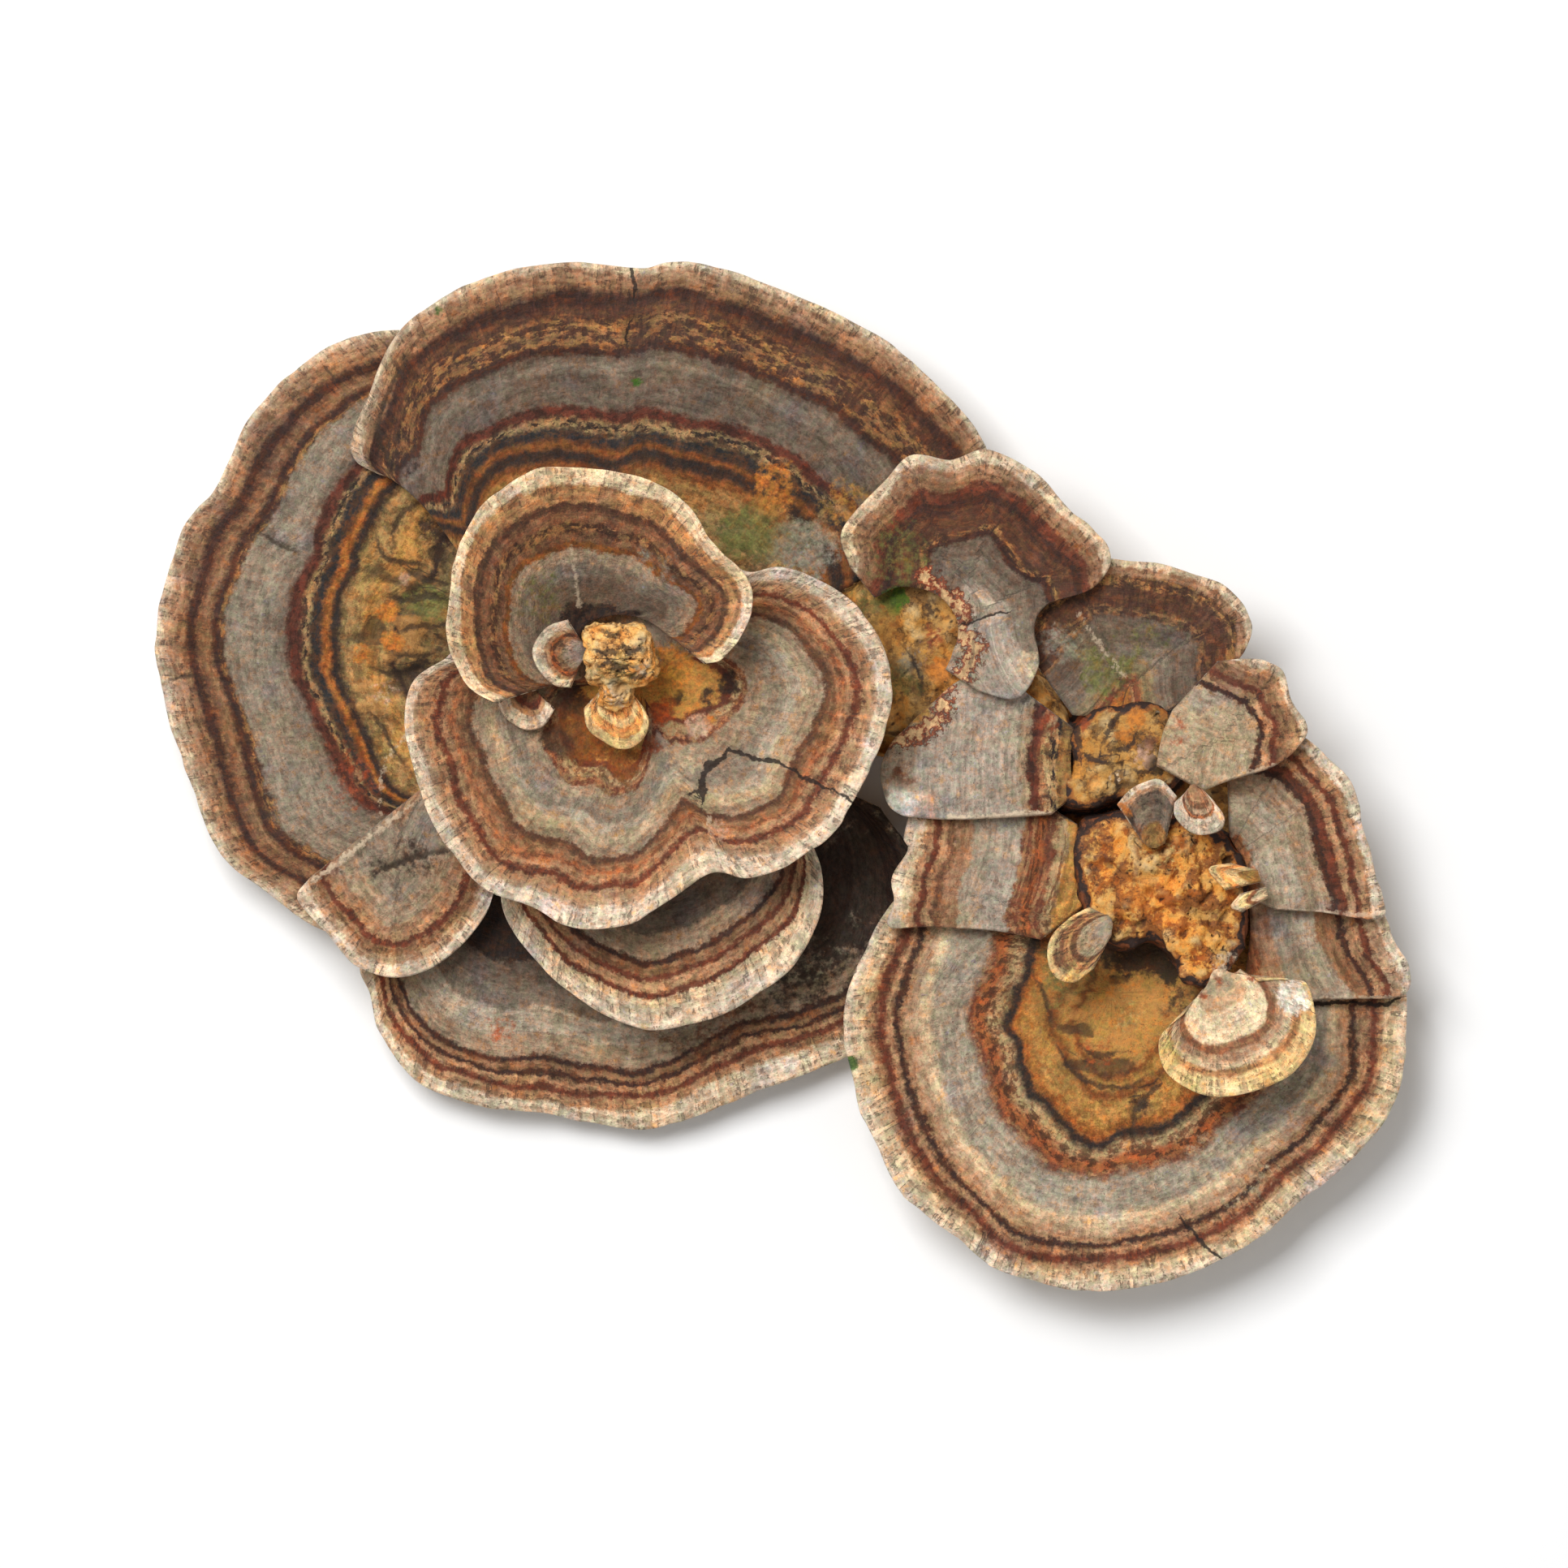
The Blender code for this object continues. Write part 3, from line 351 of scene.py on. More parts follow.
SKINS = {
    "cap_bottom": Skin(
        (("cream_rim", 0),
         ("tan", 1.4, 1.6, 1.8, 2.3, 3.4, 2.5),
         ("red_brown", 2.4, 2.9, 3.3, 3.6, 4.6, 3.5),
         ("tan", 3.4, 3.9, 4.3, 4.5, 5.4, 4.3),
         ("dark", 4.2, 4.8, 5, 5.3, 6.2, 5),
         ("warm_tan", 4.8, 5.4, 5.6, 6, 6.8, 5.6),
         ("dark", 5.6, 6.2, 6.4, 6.8, 7.6, 6.4),
         ("dusty", 6.3, 7, 7.1, 7.6, 8.4, 7.2),
         ("grey_light", 9.5, 9.5, 10, 10.5, 11, 10),
         ("grey", 13, 13, 13, 13.5, 14, 13),
         ("grey_dark", 16, 16, 16, 16.5, 17, 15),
         ("umber", 19, 19, 19, 19, 20, 18),
         ("umber", 40)),
        (0.15, 0.25, 0.35, 0.45, 0.6, 0.7),
        hidden=0.4,
        # The first three spots are painted shade: under the bowl's rim at (12, -12), and the crescent rim's
        # shadow at (2, -22) and (-10, -30)
        stains_and_shade=((12, -12, 11, "umber", 0.95), (2, -22, 9, "umber", 0.55), (-10, -30, 7, "brown", 0.4),
                (-35, -31, 2.2, "red_spot", 0.4))),
    "cap_left_back": Skin(
        (("cream_rim", 0),
         ("rosy_tan", 0.7, 0.7, 0.7, 0.8, 1, 1, 1.2),
         ("warm_tan", 2, 1.9, 1.9, 2.2, 3, 2.3, 2.8),
         ("dark", 3.3, 3.2, 3.5, 3.8, 4.1, 3.9, 3.9),
         ("brown", 4.5, 4.5, 4.6, 4.8, 5, 4.9, 4.9),
         ("warm_tan", 5.2, 5.2, 5.3, 5.5, 5.9, 6.3, 6.2),
         ("dark", 6.5, 6.4, 6.6, 6.9, 7.4, 7.4, 7.5),
         ("mottled", 7.2, 7.1, 7.2, 7.5, 8.2, 8.6, 8.5),
         ("grey_soft", 7.9, 7.9, 8.2, 8.5, 9, 10.2, 10),
         ("grey_soft", 10.8, 10.8, 11, 12.2, 12, 13.5, 13.5),
         ("grey", 12.2, 12.2, 14, 14.2, 16.2, 16.4, 18),
         ("rust_dark", 13.4, 13.4, 15.4, 15.7, 17.8, 18.2, 20.4),
         ("rust_dark", 14.2, 14.2, 16, 16.4, 18.4, 19, 21),
         ("cream_dark", 15, 15, 16.9, 17.4, 19.4, 19.8, 21.7),
         ("black_line", 15.9, 15.9, 17.8, 18.4, 20.3, 20.6, 22.4),
         ("orange", 17.2, 17.2, 19.1, 19.8, 21.6, 21.7, 23.5),
         ("umber", 18.6, 18.6, 20.4, 21.4, 22.9, 22.7, 24.3),
         ("gold_olive", 19.3, 19.3, 21.1, 22.1, 23.6, 23.3, 24.9),
         ("gold_olive", 21.9, 21.9, 23.4, 24.5, 26, 25.7, 27.3),
         ("gold", 22.3, 22.3, 23.8, 24.9, 26.4, 26.1, 27.7),
         ("gold_olive", 26, 26, 26.6, 27.4, 29, 29, 30),
         ("umber", 28.2, 28.2, 28.4, 29.2, 30.6, 30.6, 31.6),
         ("olive", 28.6, 28.6, 28.8, 29.6, 31, 31, 32),
         ("olive_dark", 33, 33, 33, 33, 34, 35, 36)),
        (0.22, 0.35, 0.38, 0.47, 0.6, 0.75, 0.86),
        hidden=0.35,
        # The umber spots at (-44, 12) and (-41, 31) are painted shade under the rims of the bowl and the
        # horseshoe
        stains_and_shade=((-48.7, 20.1, 1.5, "orange", 0.7), (-48.2, 16.3, 1.7, "orange", 0.65),
                (-52, 15, 1.5, "orange", 0.6), (-49.2, 9.7, 2.2, "pink", 0.35),
                (-46.7, 24.2, 1.2, "pink", 0.5), (-44, 21, 3.4, "olive", 0.6),
                (-44, 12, 4, "umber", 0.45), (-41, 31, 4.5, "umber", 0.6), (-41, 57, 2, "moss", 0.6),
                (-53, 0, 4, "rust", 0.4)),
        # The ripples get painted shade in their hollows and a painted highlight on their crests; the folds
        # are inked dark as painted shade in their creases
        ripples=((-47, 14, 8, 1.1), (-46, 26, 5, 0.8)),
        folds=(((-42.6, 35.4, 0.1), (-40.6, 33, 0.3), (-39, 31.8, 0.1)),
               ((-48.2, 28.6, 0.1), (-47.8, 31, 0.25), (-46.2, 32.9, 0.3), (-44, 33.8, 0.1)),
               ((-50.4, 30.4, 0.1), (-49.8, 28, 0.2), (-48.4, 26.4, 0.3), (-45.6, 26.2, 0.2),
                (-44, 25.6, 0.1)),
               ((-46.9, 25.6, 0.1), (-44.4, 24.2, 0.3), (-41.6, 23.6, 0.2)),
               ((-49, 22, 0.1), (-46, 21.6, 0.35), (-43.4, 22.2, 0.3), (-41.4, 21.4, 0.1)),
               ((-47.6, 17.4, 0.1), (-45, 18.4, 0.3), (-42.4, 18, 0.35), (-40.8, 18.4, 0.1)),
               ((-50.8, 13.2, 0.1), (-48.2, 12.5, 0.3), (-44.8, 13.4, 0.35), (-42.8, 15.8, 0.3),
                (-41.4, 15.6, 0.1)),
               ((-48.4, 15, 0.1), (-45.6, 14.6, 0.25), (-43, 14.8, 0.1)),
               ((-51.4, 8.2, 0.1), (-49.6, 6.2, 0.25), (-48, 3, 0.2), (-46.4, 1, 0.1)),
               ((-65.6, 30.6, 0.05), (-62.5, 28.7, 0.25), (-59.5, 27.2, 0.1)),
               ((-76.8, 11.2, 0.1), (-74, 12.2, 0.2), (-71.6, 12.2, 0.1), (-66, 10.6, 0.04))),
        # The lip is a pale ridge painted cream: its own pale colour, and a painted highlight where it is
        # lit
        lips=(((-49.8, -5.2), (-49.2, 0.9), (-46.6, 4.8)),)),
    "cap_top": Skin(
        (("cream_rim", 0),
         ("rosy_tan", 1.5, 1.7, 1.3, 0.8, 0.8, 0.8, 0.8, 0.8),
         ("warm_tan", 1.8, 2.1, 2.2, 2, 2.3, 2, 2.3, 2),
         ("dark", 2.1, 2.6, 3.2, 3.9, 4.2, 3.3, 4.1, 3.5),
         ("deep_brown", 2.7, 3.8, 4.8, 4.9, 5.5, 4.6, 5.2, 5),
         ("mottled", 3, 4.4, 5.9, 6, 6.6, 6.1, 6.5, 6.5),
         ("mottled_dark", 3.4, 5.6, 7.8, 8, 8.4, 8.2, 8.3, 8.2),
         ("mottled", 3.8, 6.2, 8.6, 8.8, 9.2, 9.1, 9.2, 9.2),
         ("dark", 4.2, 6.8, 9.4, 9.5, 10.2, 10.2, 10.3, 10.2),
         ("grey_dark", 4.6, 7.4, 10.2, 10.3, 10.9, 11.2, 11.3, 11),
         ("grey", 5, 8.2, 11.3, 11.5, 12, 12.2, 12.2, 12),
         ("grey_dark", 5.5, 9.1, 12.8, 13, 13.2, 13.6, 13.6, 14.5),
         ("grey_dark", 6, 9.9, 14, 14.2, 15.2, 15.8, 15.2, 15.8),
         ("rust_dark", 6.6, 10.8, 15.2, 15.6, 17.4, 18.6, 18, 17.8),
         ("rust_dark", 6.9, 11.3, 15.8, 16.2, 18.1, 19.4, 18.7, 18.4),
         ("cream_dark", 7.2, 11.9, 16.8, 17.2, 18.9, 20.2, 19.4, 19),
         ("black_line", 8, 12.9, 18, 18.3, 20.1, 22, 21, 20.2),
         ("orange_brown", 8.8, 14.1, 19.5, 19.8, 21.3, 23, 22.6, 21.4),
         ("umber", 9.6, 15.1, 20.7, 21, 23, 24, 23.6, 22.8),
         ("orange_brown", 10.4, 16.3, 22.1, 22.4, 24.2, 25.4, 25, 24.2),
         ("ochre", 11.6, 17.6, 23.7, 24, 26, 27, 26.6, 26),
         ("gold_olive", 14, 20, 26.6, 27, 29, 30, 29.5, 28),
         ("olive_dark", 18, 25, 31, 32, 34, 35, 35, 34)),
        (0, 0.06, 0.12, 0.2, 0.35, 0.5, 0.65, 0.85),
        hidden=0.3,
        # Along the rolled left lip: its cream is the rim's pale colour and a painted highlight, and the
        # umber spot at (-47, 40) and the second fold are painted shadow just inside it, where the dark band
        # is also drawn in close at the first shares. The first fold is inked dark as painted shade in its
        # crease.
        stains_and_shade=((-4, 30, 4.5, "olive", 0.7), (3, 28, 4, "grey", 0.6), (-1, 35.5, 3.6, "orange", 0.45),
                (8, 33, 4, "ochre", 0.4), (-18, 48.5, 0.9, "moss", 0.6), (-42.5, 57.2, 0.9, "moss", 0.6),
                (-47, 40, 4, "umber", 0.35)),
        folds=(((-17.6, 44, 0.05), (-17.2, 40.4, 0.16), (-16.9, 36, 0.05)),
               ((-45, 54, 0.1), (-48.4, 47.6, 0.2), (-50, 42.6, 0.25), (-48.6, 38.8, 0.2))),
        cracks_and_shadow_lines=(((-18.9, 63.2, 0.2), (-18.4, 60.4, 0.14), (-18.3, 58.4, 0.06)),
                ((-18.6, 56.4, 0.04), (-19.1, 55, 0.1), (-19.4, 52.6, 0.04))),
        lips=(((-47.4, 54.6, 0.9), (-50.2, 48.6), (-52.2, 42.6), (-51.4, 39.4)),)),
    "cap_lower_left": Skin(
        (("white_rim", 0), ("pink_rim", 1.6), ("warm_tan", 2.6), ("red_brown", 3.6), ("tan", 4.4),
         ("rosy_tan", 5.2), ("dusty", 6.2), ("dusty", 7.4), ("grey_soft", 8.6), ("grey_soft", 10.5),
         ("rosy_tan", 13.5), ("grey", 17)),
        hidden=0.3, lip_strength=0.6,
        guide=((-61, -8), (-60, -14), (-57, -19), (-52.5, -23.6), (-47, -24.9), (-41, -22.2),
               (-36.6, -17), (-34, -11)),
        # The umber spots and the fold are painted shadow along the fold from (-50, -12) to (-41, -9); the
        # lip along the left edge is painted cream, its own pale colour and a painted highlight on the lit
        # ridge
        stains_and_shade=((-45, -10, 3.5, "umber", 0.45), (-50, -11.5, 2, "umber", 0.5), (-47, 2, 3, "beige", 0.5)),
        folds=(((-49.6, -11.8, 0.2), (-46, -10.4, 0.4), (-41.4, -9.2, 0.2)),),
        lips=(((-58.2, -13.2), (-54.5, -10.6), (-50.5, -7.4), (-46, -3.8)),)),
    "cap_crescent": Skin(
        (("white_rim", 0),
         ("cream_rim", 1.4, 1.6, 1.8, 2, 1.4),
         ("cream_beige", 2.4, 2.8, 3.1, 3.4, 2.4),
         ("red_brown", 3.5, 3.9, 4.2, 4.6, 3.5),
         ("tan", 4.1, 4.6, 4.9, 5.3, 4.2),
         ("red_brown", 5.3, 6.2, 6.4, 6.8, 5.4),
         ("warm_tan", 5.9, 6.9, 7, 7.4, 6),
         ("dark", 7.4, 8.1, 8.3, 8.5, 7.4),
         ("dusty", 8, 8.9, 9.1, 9.2, 8),
         ("grey_dark", 11, 12, 12, 12, 11),
         ("grey_dark", 15),
         ("umber", 22)),
        (0.2, 0.35, 0.5, 0.65, 0.8),
        hidden=0.45, stains_and_shade=((-17, -31, 1.4, "yellow", 0.4), (-30, -24.5, 1.4, "yellow", 0.4))),
    "cap_bowl": Skin(
        (("white_rim", 0),
         ("pink_rim", 1, 1, 1.9, 2.6, 3, 1.6, 1.9, 2.2, 2),
         ("tan", 1.8, 1.8, 2.6, 3.5, 4, 2.2, 2.6, 2.9, 2.6),
         ("red_brown", 3.3, 3.3, 3.8, 4.8, 5.1, 3.6, 4.5, 4.3, 3.8),
         ("tan", 4.1, 4.1, 4.7, 5.5, 5.7, 4.4, 5.1, 5, 4.5),
         ("rust_tan", 5.2, 5.2, 6, 6.6, 6.6, 5.6, 6, 6, 5.6),
         ("warm_tan", 6, 6, 7, 7.2, 7.4, 6.3, 7, 6.8, 6.4),
         ("chestnut_dark", 7.1, 7.1, 8.6, 8.1, 8.3, 7.3, 8.1, 7.7, 7.4),
         ("dusty", 7.8, 7.8, 9.4, 8.8, 9, 8, 8.9, 8.5, 8.1),
         ("beige", 9.4, 9.4, 10.8, 10.2, 10.4, 9.4, 10.4, 10, 9.6),
         ("grey_light", 11, 11, 12, 12, 12, 11, 11.5, 11.5, 11),
         ("grey_soft", 12.2, 12.2, 13, 13, 13.4, 12.8, 13, 12.8, 12.2),
         ("dusty", 14.2, 14.2, 14.8, 14.8, 15.6, 16, 15.4, 14.8, 14.2),
         ("rust_speck", 16.6, 16.6, 16.4, 16.4, 18.6, 19.8, 17.6, 17, 17),
         ("cream_speck", 17.8, 17.8, 17.7, 17.7, 19.8, 21, 18.4, 17.6, 17.8),
         ("red_brown", 19, 19, 19, 19, 21.4, 23.2, 19.2, 18.4, 18.4),
         ("honey", 20, 20, 20.2, 20.2, 22.8, 24.6, 20.2, 19.2, 19.4),
         ("honey", 30)),
        (0, 0.08, 0.2, 0.3, 0.37, 0.44, 0.55, 0.66, 0.8),
        hidden=0.2,
        stains_and_shade=((-13.2, 13.6, 3, "amber", 0.85), (-6.4, 11, 1.8, "umber", 0.7),
                (-9.6, 9.6, 1.3, "umber", 0.6), (-12.6, 9.4, 1, "umber", 0.65),
                (-14.8, 7.4, 1.8, "red_spot", 0.75), (-10.4, 5.8, 1.9, "pink", 0.6),
                (-8.8, 6.9, 0.8, "orange", 0.7), (-24.8, 5.4, 3.8, "dark_honey", 0.85),
                (-19.6, 1.6, 2.6, "dark_honey", 0.7), (-27.6, 4, 2.2, "umber", 0.7),
                (-16.4, 3.4, 1.6, "rust", 0.5), (-26.2, 9.6, 2.4, "umber", 0.6),
                (-12, 1.5, 2.6, "beige", 0.4), (-8, -7, 2, "pink", 0.4)),
        cracks_and_shadow_lines=(((-6.8, 3.2, 0.12), (-5, 2.6, 0.2), (-3, 2, 0.12), (-0.6, 1.5, 0.2), (1.8, 0.2, 0.12),
                 (4.4, -1.2, 0.16), (6.6, -2.2, 0.08), (8.6, -3.4, 0.14)),
                ((-9.9, -3.4, 0.08), (-9.8, -1.6, 0.34), (-9.9, 0.2, 0.2), (-9, 1.2, 0.5),
                 (-7.6, 2, 0.22), (-6.8, 3.2, 0.14)),
                ((-12, -2.6, 0.03), (-10.8, -2.2, 0.12), (-9.8, -1.6, 0.2))),
        lips=(((-9.2, -4.5), (-8.8, -8), (-8.2, -11.8)),)),
    "cap_horseshoe": Skin(
        (("ivory_rim", 0),
         ("gold_tan", 1.6, 1.4, 1.6, 2, 1.9, 1.5, 1.2, 1),
         ("chestnut_dark", 3, 3.2, 3.6, 4.2, 4.2, 3.4, 2.8, 2.2),
         ("chestnut", 4, 4.2, 4.6, 5.2, 5.2, 4.2, 3.6, 3),
         ("mottled", 5, 5.2, 5.8, 6.6, 6.4, 5.2, 4.4, 3.6),
         ("brown", 6.2, 6.4, 7, 8, 7.6, 6.2, 5.4, 4.4),
         ("orange_brown", 7, 7.2, 7.8, 9, 8.6, 7, 6.2, 5),
         ("dusty", 7.8, 8, 8.8, 9.8, 9.4, 7.8, 7, 5.6),
         ("grey", 9.4, 9.6, 10.4, 11.4, 11, 9.4, 8.4, 7),
         ("grey_dark", 11.4, 11.6, 12.6, 13.6, 13, 11.6, 10.4, 9),
         ("grey_dark", 13, 13, 14.4, 15, 14.6, 13, 12, 10),
         ("umber", 15, 15, 16.2, 16.8, 16.4, 15, 14, 12),
         ("dark", 22)),
        (0, 0.15, 0.3, 0.45, 0.6, 0.75, 0.9, 1),
        hidden=0.1, stains_and_shade=((-30, 22, 4, "olive", 0.35), (-16, 25, 4, "grey", 0.3)),
        lips=(((-26, 28), (-25.4, 24), (-25, 20.5)),)),
    "knob_cap": Skin(
        (("gold_rim", 0), ("gold_rim", 0.7), ("gold_light", 1.3), ("gold_light", 1.8), ("gold_rim", 2.5),
         ("gold_light", 3.6), ("gold_light", 4.6))),
    "small_cap_left": Skin(
        (("white_rim", 0), ("cream_rim", 0.7), ("tan", 1.3), ("rust", 1.9), ("warm_tan", 2.7),
         ("dusty", 3.4), ("grey_soft", 4.6))),
    "small_cap_under": Skin(
        (("white_rim", 0), ("white_rim", 1.1), ("tan", 1.7), ("red_brown", 2.5), ("brown", 3.4))),
    "cap_bottom_right": Skin(
        (("white_rim", 0),
         ("cream_beige", 1.2, 1.2, 1.2, 1.2, 1.3, 1.3, 1.3),
         ("tan", 2.4, 2.6, 2.1, 2, 2.4, 2.6, 2.7),
         ("red_brown", 3.4, 4, 3.4, 3.3, 3.5, 3.7, 3.7),
         ("tan", 4.4, 4.9, 4.2, 4, 4.1, 4.4, 4.4),
         ("dark", 5.5, 6.1, 5.4, 5.1, 5.5, 5.9, 6.3),
         ("tan", 6, 6.7, 5.9, 5.6, 6, 6.5, 6.9),
         ("pink_rim", 6.9, 7.7, 6.7, 6.3, 6.6, 7.2, 7.6),
         ("cream_beige", 7.8, 8.8, 7.8, 7.2, 7.6, 8.2, 8.4),
         ("grey_light", 9.6, 11, 10, 9.4, 9.4, 10, 10),
         ("grey_light", 13, 14, 12.8, 12, 11.8, 12, 12),
         ("rust_speck", 14.6, 15.8, 14.8, 13.8, 13.4, 13.4, 13.4),
         ("rust", 15.4, 16.6, 15.6, 14.6, 14.2, 14.2, 14.2),
         ("cream_speck", 16.8, 18, 17, 15.9, 15.4, 15.4, 15.4),
         ("umber", 19.5, 20.5, 19.5, 18.2, 17.8, 17.8, 17.8),
         ("orange", 20.1, 21.1, 20.1, 18.8, 18.4, 18.4, 18.4),
         ("gold", 21.4, 22.5, 21.6, 20.4, 20, 20, 20),
         ("gold", 22.4, 23.8, 23, 22, 21.6, 21.6, 21.6),
         ("orange_brown", 24.9, 25.4, 24.6, 23.6, 23.4, 23.4, 23.4),
         ("gold", 25.4, 25.9, 25.1, 24.1, 23.9, 23.9, 23.9),
         ("orange_brown", 27.2, 27.5, 26.9, 26.1, 25.9, 25.9, 25.9),
         ("gold", 27.6, 27.9, 27.3, 26.5, 26.3, 26.3, 26.3),
         ("honey", 28.8, 28.8, 28.4, 27.8, 27.6, 27.6, 27.6),
         ("honey", 31, 31, 30.6, 30, 30, 30, 30),
         ("honey", 38)),
        (0.17, 0.27, 0.39, 0.52, 0.64, 0.76, 0.86),
        hidden=0.2,
        guide=((14.4, 2), (13.2, -8), (12, -16), (9.9, -21.8), (7.5, -31), (9.6, -40.8), (13.8, -50.2),
               (18.2, -54.6), (26, -60.7), (34, -63.1), (42, -63.4), (50, -61.4), (58.5, -57.2),
               (63.5, -53), (71, -46.6), (75.6, -40), (76.7, -33), (77, -24), (77.6, -10)),
        # The near-black spot at (47.4, -24.2) and the umber spots at (41, -22.4) and (44.5, -22.6) are
        # painted shadow under the tissue's arch; the beige spot at (55, -48) is a painted highlight where
        # the rim faces the light
        stains_and_shade=((8.4, -35.4, 0.8, "moss", 0.9), (39, -34, 2.4, "red_spot", 0.35),
                (44, -41, 2, "umber", 0.5), (35, -26, 4, "olive", 0.3), (33.4, -21, 2.6, "umber", 0.5),
                (42, -29, 3, "yellow", 0.25), (46, -32, 3, "orange", 0.25), (55, -48, 6, "beige", 0.35),
                (47.4, -24.2, 2.2, "night", 0.9), (41, -22.4, 3, "umber", 0.7),
                (44.5, -22.6, 3, "umber", 0.8), (34.6, -23, 3, "olive", 0.5), (49, -28, 3, "umber", 0.4)),
        # The ripple gets painted shade in its hollows and a painted highlight on its crests; the folds are
        # inked dark as painted shade in their creases
        ripples=((40, -30, 7, 0.35),),
        folds=(((33, -32.4, 0.1), (36.4, -37.2, 0.25), (41.6, -38.6, 0.2), (45.4, -36.8, 0.1)),
               ((36.8, -33.6, 0.1), (39, -34.6, 0.35), (41.4, -34.2, 0.1)),
               ((43.2, -45.4, 0.1), (43.4, -41.6, 0.3), (46, -38.4, 0.25)),
               ((30.4, -24, 0.1), (32.4, -27.4, 0.2), (33, -31, 0.1))),
        # The first line runs under the overhanging edge of cap_right_low: its dark ink is painted shadow
        # under that edge
        cracks_and_shadow_lines=(((62, -27.8, 0.1), (66, -28.2, 0.2), (70, -28, 0.14), (74, -28.3, 0.2), (76, -27.6, 0.1)),
                ((49, -54.6, 0.06), (50.5, -56.4, 0.1), (52.4, -58.6, 0.14), (54.6, -60, 0.05)))),
    "cap_right_low": Skin(
        (("white_rim", 0), ("pink_rim", 1.4), ("red_brown", 3), ("tan", 3.9), ("dark", 5.3),
         ("warm_tan", 6), ("grey_light", 8.4), ("grey_soft", 11), ("rosy_tan", 14), ("rust_tan", 16.4),
         ("rust_speck", 18.2), ("gold", 19.4)),
        guide=((73, -8), (74.6, -19), (77.2, -23.4), (78, -30)),
        lips=(((61, -27.9), (67, -27.5), (75, -27.4)),)),
    "cap_left_lobe": Skin(
        (("white_rim", 0), ("cream_beige", 1.4), ("tan", 2.4), ("red_brown", 3.4), ("tan", 4.4),
         ("brown", 5.4), ("rosy_tan", 6.6), ("grey_light", 8.6), ("grey_cool", 11), ("rust_speck", 14.6),
         ("rust", 16.2), ("rust_speck", 17.4), ("cream_speck", 18.6), ("honey", 20), ("honey", 21.2),
         ("ochre", 24)),
        guide=((18, 8), (15.6, -2), (15.1, -7.6), (13.4, -12.6), (12.9, -18.7), (14, -28))),
    "cap_right": Skin(
        (("white_rim", 0), ("tan", 1.3), ("red_brown", 2.7), ("tan", 3.6), ("red_brown", 4.5),
         ("dark", 5.6), ("dusty", 6.4), ("grey_light", 9.4), ("grey_light", 12), ("rust_tan", 14.6),
         ("rust_speck", 16.2), ("ochre", 17.2)),
        guide=((56, 7), (60, 6.5), (64, 5.2), (66.9, 2), (69.5, -0.7), (71.4, -6), (73, -12.4),
               (73.8, -17.6), (74, -24)),
        lips=(((61, -16.7), (66, -16.9), (73, -17.3)),)),
    "cap_middle": Skin(
        (("ochre", 0), ("cream_dark", 0.9), ("cream_speck", 1.9), ("rust_speck", 2.8), ("rust_dark", 3.4),
         ("dusty", 4.6), ("grey_cool", 5.6), ("grey_cool", 12), ("grey_light", 18), ("grey_light", 24)),
        lip_strength=0.7, guide=((36, 14), (35.2, 6.4), (34.6, 2), (34.8, -3.4), (35.6, -9)),
        stains_and_shade=((15.5, 9, 3.2, "ochre", 0.85), (14.6, -3, 2.2, "white", 0.8), (15, -0.5, 2, "brown", 0.6),
                (18, -4, 2, "pink", 0.6), (24, 8, 3, "lavender", 0.25), (32.6, 6.4, 1.8, "rust", 0.5)),
        lips=(((20.6, -5.3), (28, -5), (36, -4.5)),),
        seams=(((12.6, 4.6), (15, 4.6), (17.4, 5.4), (19.2, 7.4), (19.9, 9.6), (18.8, 12)),)),
    "cap_upper_right": Skin(
        (("cream_rim", 0), ("rosy_tan", 0.9), ("mottled", 2), ("chestnut_dark", 3.6), ("deep_brown", 4.6),
         ("mottled_dark", 5.8), ("grey_dark", 7), ("grey_dark", 8.4), ("grey", 10.2),
         ("olive_grey", 12.4), ("rust_speck", 14), ("orange", 15.4), ("black_line", 16.6),
         ("orange", 17.6)),
        guide=((28, 18), (31.2, 22.5), (36, 26.4), (43.4, 26.3), (49, 25.5), (53.6, 23.7), (56.8, 20.6),
               (57.8, 17.6), (58, 12)),
        stains_and_shade=((40, 13, 4, "olive", 0.55), (46, 17, 4, "olive", 0.3), (34, 16, 3, "grey", 0.5)),
        lips=(((36, 20.5), (39, 16), (42, 12)),)),
    "cap_side": Skin(
        (("cream_rim", 0), ("tan", 1.2), ("warm_tan", 2.2), ("red_brown", 3.6), ("tan", 4.5),
         ("dark", 5.4), ("beige", 6.2), ("beige", 9), ("beige", 12), ("beige", 13.2), ("beige", 14.4),
         ("beige", 15.4)),
        guide=((50, 18), (57.2, 14.5), (61.4, 13.1), (62.9, 9.4), (64.6, 5.2), (63.6, 0), (63, -4)),
        stains_and_shade=((48.8, 6.4, 1.1, "rust", 0.6), (48.4, 4.2, 0.9, "rust", 0.55)),
        lips=(((47, 1), (51.6, -1.9), (55.6, -0.4), (61, 1.4)),)),
    "cap_upper": Skin(
        (("cream_rim", 0),
         ("rosy_tan", 1.2, 1.4, 1.6, 1.6, 1.2, 1.2),
         ("warm_tan", 2.4, 2.6, 2.8, 2.8, 2.2, 2.2),
         ("red_brown", 3.2, 3.6, 3.8, 3.6, 3.2, 3),
         ("dark", 4.2, 4.8, 5, 4.8, 4.4, 4),
         ("deep_brown", 5.6, 6.2, 6.6, 6.2, 5.6, 5),
         ("deep_brown", 6.8, 7.2, 7.8, 7.4, 6.6, 6),
         ("mottled", 8.2, 8.6, 9.2, 9, 8.2, 7.4),
         ("dark", 8.8, 9.2, 9.8, 9.6, 8.8, 8),
         ("grey_dark", 9.5, 9.9, 10.6, 10.4, 9.5, 8.7),
